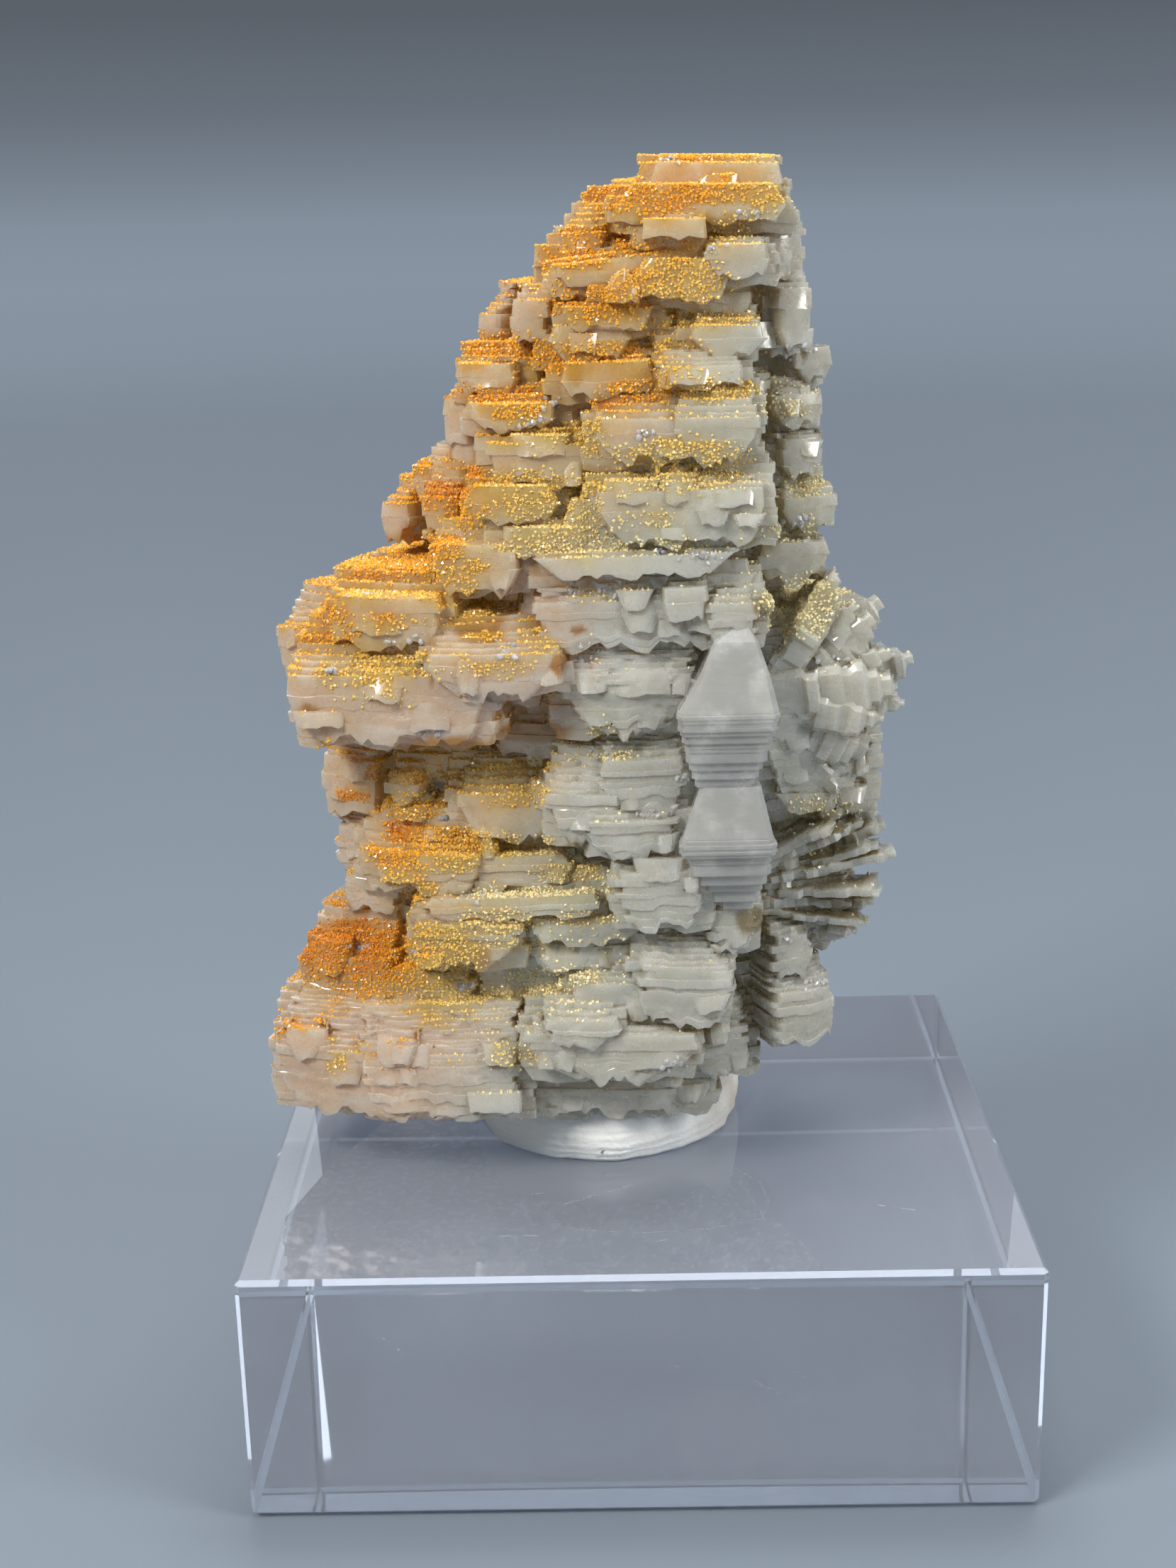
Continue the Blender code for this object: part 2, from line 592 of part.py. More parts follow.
def build_crusts(parts, clearance, finish):
    """Each sugar crust: a skin over one lobe's slope, cut clear of the crystals and of the crusts before it."""
    lobes = {lobe.name: lobe for lobe in FRONT_LOBES}
    for name, lobe_name in CRUSTED.items():
        bm = lobe_mesh(lobes[lobe_name], GAP + CRUST_THICKNESS, slope_only=True)
        combine(add_object(name, bm, parts, finish), "DIFFERENCE", clearance)
        grown = lobe_mesh(lobes[lobe_name], 2 * GAP + CRUST_THICKNESS, slope_only=True)
        as_cutter(add_object(f"clear_of_{name}", grown, clearance))


def build_block(parts, finish):
    """The clear block, with its edges just broken."""
    bpy.ops.mesh.primitive_cube_add(size=1.0)
    block = bpy.context.object
    block.name = "acrylic_block"
    block.data.name = "acrylic_block"
    size = Vector((BLOCK_WIDTH, BLOCK_DEPTH, BLOCK_HEIGHT)) * MM
    block.data.transform(Matrix.Translation((0, 0, size.z / 2)) @ Matrix.Diagonal((*size, 1.0)))
    for old in list(block.users_collection):
        old.objects.unlink(block)
    parts.objects.link(block)
    block.data.materials.append(finish)
    bevel = block.modifiers.new("broken_edges", "BEVEL")
    bevel.width = BLOCK_BEVEL * MM
    bevel.segments = 1


def build_putty(parts, clearance, finish):
    """The pad of putty, pressed between the block and the cluster and cut clear of the crystals."""
    rng = random.Random("putty")
    outline = []
    for k in range(PAD_SIDES):
        angle = 2 * math.pi * k / PAD_SIDES
        reach = 1 + PAD_OVAL * math.sin(2 * angle + 0.6) + PAD_LUMP * math.sin(5 * angle)
        reach += rng.uniform(-PAD_ROUGH, PAD_ROUGH)
        outline.append((math.cos(angle) * reach, math.sin(angle) * reach))
    levels = []
    foot = BLOCK_HEIGHT + GAP
    for share, scale in PAD_PROFILE:
        height = foot + (PAD_TOP - foot) * share
        levels.append((height, PAD_RADIUS * scale, PAD_RADIUS * scale, PAD_X, PAD_Y))
    pad = add_object("mounting_putty", pile(outline, levels), parts, finish)
    combine(pad, "DIFFERENCE", clearance)


def main():
    """Build every part of the specimen."""
    clear_scene()
    parts = collection("wulfenite_specimen")
    build_calcite(parts, material("calcite", (0.72, 0.68, 0.64), 0.3, 0.4))
    clearance = build_clearance()
    build_crusts(parts, clearance, material("wulfenite", (0.86, 0.38, 0.05), 0.35))
    build_putty(parts, clearance, material("putty", (0.86, 0.87, 0.88), 0.75))
    build_block(parts, material("acrylic", (0.93, 0.95, 0.98), 0.05, 1.0))


main()
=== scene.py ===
"""Wulfenite sugar on a stepped calcite cluster, fixed with putty to a clear block: the finished looks.

Lengths in the tables are millimetres in the shared frame: X to the right, +Y to the back, +Z up.
"""
import json
import logging
import math
import random
from dataclasses import dataclass, field
from enum import Enum
from typing import Iterable, Optional, Sequence

import bmesh
import bpy
import numpy as np
from mathutils import Euler, Matrix, Vector
from mathutils.bvhtree import BVHTree

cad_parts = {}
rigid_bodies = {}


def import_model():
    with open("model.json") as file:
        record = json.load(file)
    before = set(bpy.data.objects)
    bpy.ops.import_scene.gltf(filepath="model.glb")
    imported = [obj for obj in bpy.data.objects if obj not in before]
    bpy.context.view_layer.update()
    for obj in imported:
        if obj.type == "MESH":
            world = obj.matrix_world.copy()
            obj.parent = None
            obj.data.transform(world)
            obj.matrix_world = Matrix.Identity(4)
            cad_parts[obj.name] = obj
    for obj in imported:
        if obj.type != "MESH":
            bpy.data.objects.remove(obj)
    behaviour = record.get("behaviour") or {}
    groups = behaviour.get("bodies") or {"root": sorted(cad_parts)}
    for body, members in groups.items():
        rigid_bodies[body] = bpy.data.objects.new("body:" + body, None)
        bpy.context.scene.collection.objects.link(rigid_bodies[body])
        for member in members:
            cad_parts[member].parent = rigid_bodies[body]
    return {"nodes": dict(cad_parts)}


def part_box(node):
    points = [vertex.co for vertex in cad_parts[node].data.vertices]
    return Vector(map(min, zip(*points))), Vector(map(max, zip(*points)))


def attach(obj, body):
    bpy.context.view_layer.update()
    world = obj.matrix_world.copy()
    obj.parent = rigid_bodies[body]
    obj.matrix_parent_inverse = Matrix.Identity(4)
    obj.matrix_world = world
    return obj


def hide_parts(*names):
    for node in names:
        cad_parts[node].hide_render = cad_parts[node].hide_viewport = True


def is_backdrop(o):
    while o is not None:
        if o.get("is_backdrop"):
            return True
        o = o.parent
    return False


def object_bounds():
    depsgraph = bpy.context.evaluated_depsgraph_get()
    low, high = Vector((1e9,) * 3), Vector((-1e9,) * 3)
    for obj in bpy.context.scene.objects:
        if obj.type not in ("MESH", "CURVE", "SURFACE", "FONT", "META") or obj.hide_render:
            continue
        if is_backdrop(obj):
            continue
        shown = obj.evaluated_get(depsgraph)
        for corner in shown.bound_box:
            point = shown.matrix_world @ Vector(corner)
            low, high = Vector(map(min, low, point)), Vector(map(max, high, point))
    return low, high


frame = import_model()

LOG = logging.getLogger("wulfenite")
Colour = tuple[float, float, float]
Place = tuple[float, float, float]
MM = 0.001
FULL_TURN = 6.283
CAD_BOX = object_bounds()
ROOT = "root"


# Crystal sizes shared with the solids

KEEL_SHARE = 0.38
BROW_SHARE = 0.58
TURNED_DEPTH_SHARE = 0.45
TREAD_RUN = 0.75
ROW_PITCH = 8.0
BACK_LOBE_HEIGHT = 10.0
BACK_INSET = 0.75


@dataclass(frozen=True)
class Lobe:
    """One calcite crystal, narrower at its keel and at its crest. Lengths are in millimetres."""

    name: str
    x: float
    y: float
    low: float
    high: float
    width: float
    depth: float
    turn: float = 0.0
    keel: float = 0.6
    crest: float = 0.6
    lean: float = 0.0


def front(
    name: str, left: float, right: float, low: float, high: float, face: float, depth: float = 12.0,
    turn: float = 0.0, keel: float = 0.6, crest: float = 0.6, lean: float = 0.0,
) -> Lobe:
    """Give a lobe by the ends of its face and the Y that its face reaches.

    Args:
        name: The lobe's name, which also seeds its shape.
        left: Left end of the face.
        right: Right end of the face.
        low: Height of the keel.
        high: Height of the crest.
        face: The Y that the face reaches.
        depth: Size from front to back.
        turn: Turn about the upright, in degrees.
        keel: Width of the keel as a share.
        crest: Width of the crest as a share.
        lean: Tip to the side, in degrees.

    Returns:
        The lobe, made narrower when it is turned, so that its corners still end at left and right.
    """
    turned = math.radians(abs(turn))
    width = (right - left - TURNED_DEPTH_SHARE * depth * math.sin(turned)) / math.cos(turned)
    width = max(width, (right - left) / 2)
    return Lobe(name, (left + right) / 2, face + depth / 2, low, high, width, depth, turn, keel, crest, lean)


FRONT_LOBES = [
    # Crown
    front("crown_block", 2.2, 11.4, 91.3, 94.0, -3, 10, keel=0.95, crest=0.86),
    front("crown_terrace", -0.2, 11.6, 89.6, 92.1, -4.8, 13, keel=0.92, crest=0.75),
    front("crown_left", -3.6, 1.0, 87.0, 90.6, -3.4, 10, turn=-20, crest=0.7),
    front("crown_right", 7.6, 11.8, 85.6, 90.8, -3.2, 10, turn=15, keel=0.85, crest=0.8),
    front("white_chunk", 1.6, 5.9, 88.4, 90.5, -6.3, 9, keel=0.9, crest=0.6),
    front("white_ledge", 5.8, 10.4, 85.8, 88.4, -6.4, 10, keel=0.7, crest=0.8),
    # High ledges
    front("long_terrace", -4.6, 6.4, 85.8, 88.5, -5.2, 12, keel=0.85, crest=0.7, lean=6),
    front("high_grey", -5.0, -0.2, 84.4, 87.0, -4.8, 10, turn=-12, crest=0.75),
    front("small_peak", -1.0, 1.3, 84.2, 86.4, -6.8, 6, keel=0.95, crest=0.25),
    front("sugar_shelf", 0.8, 7.8, 84.2, 87.0, -6.4, 12, keel=0.8, crest=0.6),
    front("left_block", -7.4, -3.5, 81.7, 85.4, -4.2, 10, turn=-15, keel=0.85, crest=0.8),
    front("orange_shelf", -4.4, 2.2, 82.3, 84.8, -6.2, 11, keel=0.8, crest=0.6),
    front("under_shelf", -5.2, 0.8, 80.3, 83.2, -6.0, 10, keel=0.7, crest=0.7),
    front("point_lobe", 4.0, 9.8, 80.3, 83.6, -7.0, 11, turn=8, keel=0.5, crest=0.7),
    front("right_body", 8.2, 12.8, 80.8, 87.0, -4.2, 11, turn=22, keel=0.8, crest=0.7),
    front("right_tip", 9.0, 14.4, 78.2, 81.6, -2.4, 10, turn=30, keel=0.5, crest=0.35),
    front("pale_block", 2.3, 8.3, 78.4, 80.9, -8.0, 11, keel=0.92, crest=0.85),
    front("grey_block", -4.5, 2.6, 77.9, 81.0, -7.0, 11, keel=0.85, crest=0.75),
    front("far_left_high", -9.4, -5.6, 80.4, 85.2, -0.6, 9, turn=-30, keel=0.8, crest=0.6),
    front("left_ledge", -11.6, -5.6, 77.6, 81.2, -4.2, 11, turn=-15, keel=0.7, crest=0.6),
    # Upper body
    front("left_column", -12.5, -8.2, 74.2, 78.2, -2.4, 10, turn=-22, keel=0.85, crest=0.75),
    front("gold_ledge", -10.8, -3.6, 75.6, 78.4, -6.2, 11, turn=-8, crest=0.65),
    front("left_grey", -12.2, -7.8, 70.8, 75.0, -2.6, 10, turn=-20, keel=0.8, crest=0.75),
    front("grey_lobe", -9.5, -1.8, 71.6, 76.6, -7.4, 12, turn=-6, keel=0.75, crest=0.62),
    front("centre_lobe", -2.0, 5.4, 73.5, 78.4, -9.0, 12, keel=0.6, crest=0.7),
    front("centre_tooth", 3.4, 9.4, 73.2, 78.7, -9.3, 12, keel=0.34, crest=0.8),
    front("golden_slope", -2.0, 9.8, 67.7, 74.6, -9.9, 14, keel=0.72, crest=0.5),
    front("right_stack_high", 8.4, 13.6, 75.2, 78.4, -4.0, 10, turn=20, keel=0.6, crest=0.8),
    front("right_stack_mid", 8.6, 13.8, 71.4, 75.4, -4.4, 10, turn=22, keel=0.6, crest=0.8),
    front("right_stack_low", 8.6, 14.8, 67.8, 71.9, -4.8, 11, turn=20, keel=0.7, crest=0.7),
    front("gold_lobe", -10.9, -3.8, 69.4, 72.5, -8.2, 12, turn=-8, keel=0.8, crest=0.6),
    front("sugar_tongue", -9.0, -2.6, 67.1, 70.4, -9.0, 12, keel=0.7, crest=0.6),
    front("gold_neck", -4.4, 0.0, 67.3, 71.6, -8.7, 12, keel=0.8, crest=0.6),
    front("left_round", -17.4, -12.8, 67.0, 71.2, -1.6, 9, turn=-30, keel=0.7, crest=0.6),
    front("left_bits", -15.0, -10.5, 70.3, 73.8, -1.4, 9, turn=-25, keel=0.8, crest=0.4),
    front("mid_left", -14.2, -9.6, 68.2, 72.6, -4.6, 11, turn=-18, keel=0.8, crest=0.6),
    front("gold_bell", -13.4, -6.2, 64.3, 69.2, -8.9, 12, turn=-10, keel=0.7, crest=0.62),
    front("cream_lip", -6.8, 8.2, 65.4, 67.6, -10.2, 14, keel=0.8, crest=0.9),
    front("right_chunk", 7.4, 14.2, 64.2, 68.2, -6.0, 12, turn=14, keel=0.8, crest=0.6),
    # Left shoulder
    front("shoulder_top", -20.6, -11.2, 60.8, 65.6, -9.2, 15, turn=-12, keel=0.9, crest=0.62),
    front("shoulder_body", -24.2, -8.6, 54.0, 62.6, -10.6, 18, turn=-8, keel=0.74, crest=0.6),
    front("shoulder_end", -24.4, -17.0, 56.8, 63.8, -5.4, 14, turn=-35, keel=0.7, crest=0.6),
    front("shoulder_tongue", -14.8, -5.0, 57.2, 62.4, -11.4, 14, turn=4, keel=0.6, crest=0.7),
    front("shoulder_foot", -22.4, -8.4, 53.6, 56.8, -9.4, 16, turn=-8, keel=0.92, crest=0.8),
    front("amber_slabs", -9.4, -1.0, 53.6, 57.8, -5.4, 10, keel=0.9, crest=0.8),
    # Centre
    front("centre_mass", -6.7, 8.7, 60.4, 66.2, -9.7, 15, keel=0.78, crest=0.9),
    front("centre_keel", -4.8, 4.6, 53.9, 61.2, -9.9, 14, keel=0.3, crest=0.95),
    front("centre_block", 2.6, 5.8, 62.3, 65.7, -10.6, 10, keel=0.9, crest=0.8),
    front("round_crystal", 5.6, 9.2, 60.7, 65.8, -10.5, 10, keel=0.8, crest=0.5),
    front("upper_spray_body", 8.6, 17.4, 46.6, 61.8, -6.4, 12, turn=12, keel=0.45, crest=0.6),
    front("shield_left", -5.9, 0.2, 46.0, 52.6, -10.6, 13, turn=-8, keel=0.55, crest=0.7),
    front("shield_right", -2.2, 4.0, 48.0, 54.2, -10.4, 12, keel=0.6, crest=0.7),
    front("shield_low", -3.2, 3.4, 45.2, 49.8, -11.4, 12, keel=0.7, crest=0.7),
    # Central column and the low right
    front("column_high", -1.1, 5.0, 39.8, 47.0, -12.2, 15, keel=0.68, crest=0.6),
    front("column_low", 0.4, 7.4, 32.2, 39.8, -12.0, 15, keel=0.8, crest=0.75),
    front("column_side", 3.8, 8.6, 37.6, 43.0, -10.8, 13, turn=10, keel=0.8, crest=0.7),
    front("low_right", 6.8, 13.9, 29.2, 35.6, -9.2, 14, turn=24, keel=0.8, crest=0.8),
    front("low_right_high", 7.2, 12.6, 34.0, 39.8, -8.6, 13, turn=22, keel=0.8, crest=0.6),
    front("lower_spray_body", 7.8, 16.0, 35.8, 47.2, -6.0, 12, turn=14, keel=0.6, crest=0.6),
    # Left column
    front("column_left_high", -22.4, -15.4, 46.2, 53.4, -3.8, 12, turn=-28, keel=0.85, crest=0.9),
    front("column_left_low", -21.6, -15.0, 41.6, 47.2, -3.6, 12, turn=-28, keel=0.8, crest=0.85),
    front("orange_slope", -18.2, -11.0, 44.2, 49.6, -6.0, 12, turn=-14, keel=0.9, crest=0.55),
    front("amber_ledge", -17.6, -8.8, 49.0, 52.8, -4.4, 12, turn=-8, keel=0.9, crest=0.8),
    front("bay_lobe", -12.8, -5.0, 45.6, 51.4, -8.2, 13, turn=-4, keel=0.62, crest=0.75),
    front("tiny_crystal", -7.6, -6.1, 50.6, 53.2, -6.2, 4, keel=0.95, crest=0.4),
    front("bullet", -11.0, -10.0, 44.0, 46.6, -8.6, 3, keel=0.9, crest=0.35),
    front("waist_slope", -20.0, -9.4, 41.6, 46.4, -8.4, 14, turn=-12, keel=0.9, crest=0.5),
    front("waist_left", -20.6, -13.8, 39.0, 43.2, -5.8, 13, turn=-26, keel=0.75, crest=0.7),
    front("waist_right", -11.8, -4.4, 41.8, 45.6, -8.8, 13, keel=0.9, crest=0.6),
    front("waist_end", -6.0, -0.6, 40.4, 44.6, -8.4, 12, keel=0.9, crest=0.6),
    front("waist_lip", -15.2, -1.8, 40.0, 42.0, -10.4, 15, turn=-3, keel=0.8, crest=0.85),
    front("belly_lobe", -16.2, -7.4, 36.4, 41.2, -10.7, 15, turn=-6, keel=0.5, crest=0.9),
    front("belly_right", -7.6, 0.6, 38.0, 40.9, -10.2, 14, keel=0.7, crest=0.9),
    front("belly_low", -7.4, 0.4, 35.6, 38.8, -9.6, 13, keel=0.8, crest=0.8),
    front("belly_under", -11.6, -4.6, 32.6, 37.2, -8.4, 12, keel=0.95, crest=0.9),
    # Foot
    front("dome", -24.8, -15.4, 31.6, 38.8, -7.4, 15, turn=-18, keel=0.95, crest=0.26),
    front("foot_slope", -20.4, -10.8, 32.0, 37.8, -8.4, 16, turn=-8, keel=0.95, crest=0.45),
    front("foot_slab_left", -26.4, -13.0, 24.6, 33.2, -10.6, 20, turn=-14, keel=0.72, crest=0.84),
    front("foot_slab", -20.6, -8.2, 24.6, 33.0, -11.4, 18, turn=-2, keel=0.82, crest=0.9),
    front("shell_back", -4.8, 1.6, 31.6, 37.8, -11.2, 14, keel=0.7, crest=0.7),
    front("fan_shell", -8.1, 4.6, 28.0, 34.0, -12.7, 17, keel=0.5, crest=0.7),
    front("fan_inner", -6.4, -1.2, 30.9, 33.7, -13.3, 10, keel=0.6, crest=0.8),
    front("foot_plates", -10.0, 5.4, 23.8, 28.6, -9.2, 16, keel=0.8, crest=0.95),
    front("foot_taper", 1.8, 7.8, 26.6, 32.6, -9.4, 15, turn=14, keel=0.5, crest=0.95),
]

# Each clear crystal in front, as heights with the left and right ends of each section
CLEAR_CRYSTALS = {
    "clear_upper": (
        (50.4, 4.8, 8.7),
        (55.1, 3.3, 10.7),
        (55.9, 3.3, 10.7),
        (58.6, 5.0, 10.0),
        (60.9, 6.1, 9.2),
        (61.8, 7.6, 8.6),
    ),
    "clear_lower": ((40.8, 7.0, 8.7), (45.6, 3.4, 10.5), (46.6, 3.4, 10.5), (50.4, 5.0, 9.4)),
}
# Plans, as shares of half the width and half the depth
CLEAR_PLAN = (
    (-0.9, -1.0), (-0.3, -1.0), (0.35, -1.0), (0.88, -0.98),
    (1.0, -0.86), (0.8, 1.0), (-0.8, 1.0), (-1.0, -0.84),
)
BLADE_PLAN = (
    (0.7, -1.0), (1.0, -0.8), (1.0, 0.8), (0.7, 1.0), (-0.7, 1.0), (-1.0, 0.8), (-1.0, -0.8), (-0.7, -1.0),
)
CLEAR_FACE_Y = -13.2
CLEAR_DEPTH = 9.0
SEAM = 0.02
TOP = 93.9
CLEAR_LEAN = 0.75
CLEAR_BANDS = {"clear_upper": (53.2, 56.2), "clear_lower": (44.6, 46.9)}

# Roots of the two sprays at the right
UPPER_SPRAY_ROOT = (9.6, 1.0, 54.6)
LOWER_SPRAY_ROOT = (9.5, 0.5, 41.0)
SPRAY_ROWS = (-4.6, -2.2, -5.6, 0.6, -3.4)

# The hidden body at each height: left end, right end, front and back
BODY_SECTIONS = (
    (25.5, -14.0, 3.0, -4.0, 8.0),
    (30.0, -20.0, 8.0, -6.0, 11.0),
    (38.0, -16.5, 8.5, -5.0, 12.0),
    (47.0, -17.5, 9.0, -4.0, 12.5),
    (56.0, -18.0, 10.0, -5.0, 13.0),
    (64.0, -15.0, 10.5, -4.5, 12.0),
    (73.0, -9.5, 10.0, -3.5, 10.5),
    (83.0, -5.0, 9.5, -2.0, 8.5),
    (91.5, 1.0, 9.5, -0.5, 6.0),
)


def between(height: float, column: int) -> float:
    """Read one column of the body's sections at a height, in a straight line between the sections."""
    heights = [row[0] for row in BODY_SECTIONS]
    return float(np.interp(height, heights, [row[column] for row in BODY_SECTIONS]))


def back_lobes() -> list[Lobe]:
    """Rows of lobes round the sides and the back, on the body's own outline."""
    rng = random.Random("back")
    lobes = []
    height = BODY_SECTIONS[0][0] + 1.0
    row = 0
    while height + BACK_LOBE_HEIGHT < BODY_SECTIONS[-1][0] + 3.0:
        left, right, near, far = (between(height + BACK_LOBE_HEIGHT / 2, column) for column in (1, 2, 3, 4))
        across = right - left
        count = 3 if across > 17 else 2
        for k in range(count):
            share = (k + 0.5 + 0.25 * (row % 2) - 0.12) / count
            angle = math.radians(62 + share * 236)
            x = (left + right) / 2 + math.sin(angle) * across / 2 * BACK_INSET
            y = (near + far) / 2 - math.cos(angle) * (far - near) / 2 * BACK_INSET
            width = across / count * rng.uniform(1.15, 1.45) + 2.5
            tall = BACK_LOBE_HEIGHT * rng.uniform(0.85, 1.15)
            low = height + rng.uniform(-0.8, 0.8)
            depth = rng.uniform(8.5, 11.0)
            keel = rng.uniform(0.5, 0.75)
            crest = rng.uniform(0.5, 0.7)
            lean = rng.uniform(-4, 4)
            turn = math.degrees(angle)
            name = f"back_{row}_{k}"
            lobes.append(Lobe(name, x, y, low, height + tall, width, depth, turn, keel, crest, lean))
        height += ROW_PITCH
        row += 1
    return lobes


def smooth(value: np.ndarray, low: float, high: float) -> np.ndarray:
    """A smooth step from 0 at low to 1 at high."""
    share = np.clip((value - low) / (high - low), 0.0, 1.0)
    return share * share * (3 - 2 * share)


# The border between the warm and the pale side: X at its middle height, slope and bend
WARM_MIDDLE = 36.0
WARM_EDGE = -12.0
WARM_SLOPE = 0.25
WARM_BEND = 0.002
WARM_WIDTH = 12.0

# Where sugar lies: patches drawn in the upright plane at one Y, as the camera sees them

SIGHT = (-1.02, -155.35, 92.88)
DRIFT_PLANE_Y = -7.0


class Tone(Enum):
    """The sugar's colour, from pale at 0 to deep orange-red at 1."""

    CREAM = 0.10
    STRAW = 0.30
    GOLDEN = 0.46
    AMBER = 0.60
    ORANGE = 0.76
    DEEP = 0.96


@dataclass(frozen=True)
class Drift:
    """An oval patch in the front view: middle and half sizes in millimetres, tone and how full it is."""

    x: float
    z: float
    half_width: float
    half_height: float
    tone: Tone
    full: float = 1.0

    def weight(self, x: np.ndarray, z: np.ndarray, margin: float = 0.0) -> np.ndarray:
        """How strongly the patch, or the patch with a margin round it, covers places in the front view."""
        wide, tall = self.half_width + margin, self.half_height + margin
        distance = np.hypot((x - self.x) / wide, (z - self.z) / tall)
        return self.full * (1 - smooth(distance, 0.65, 1.3))


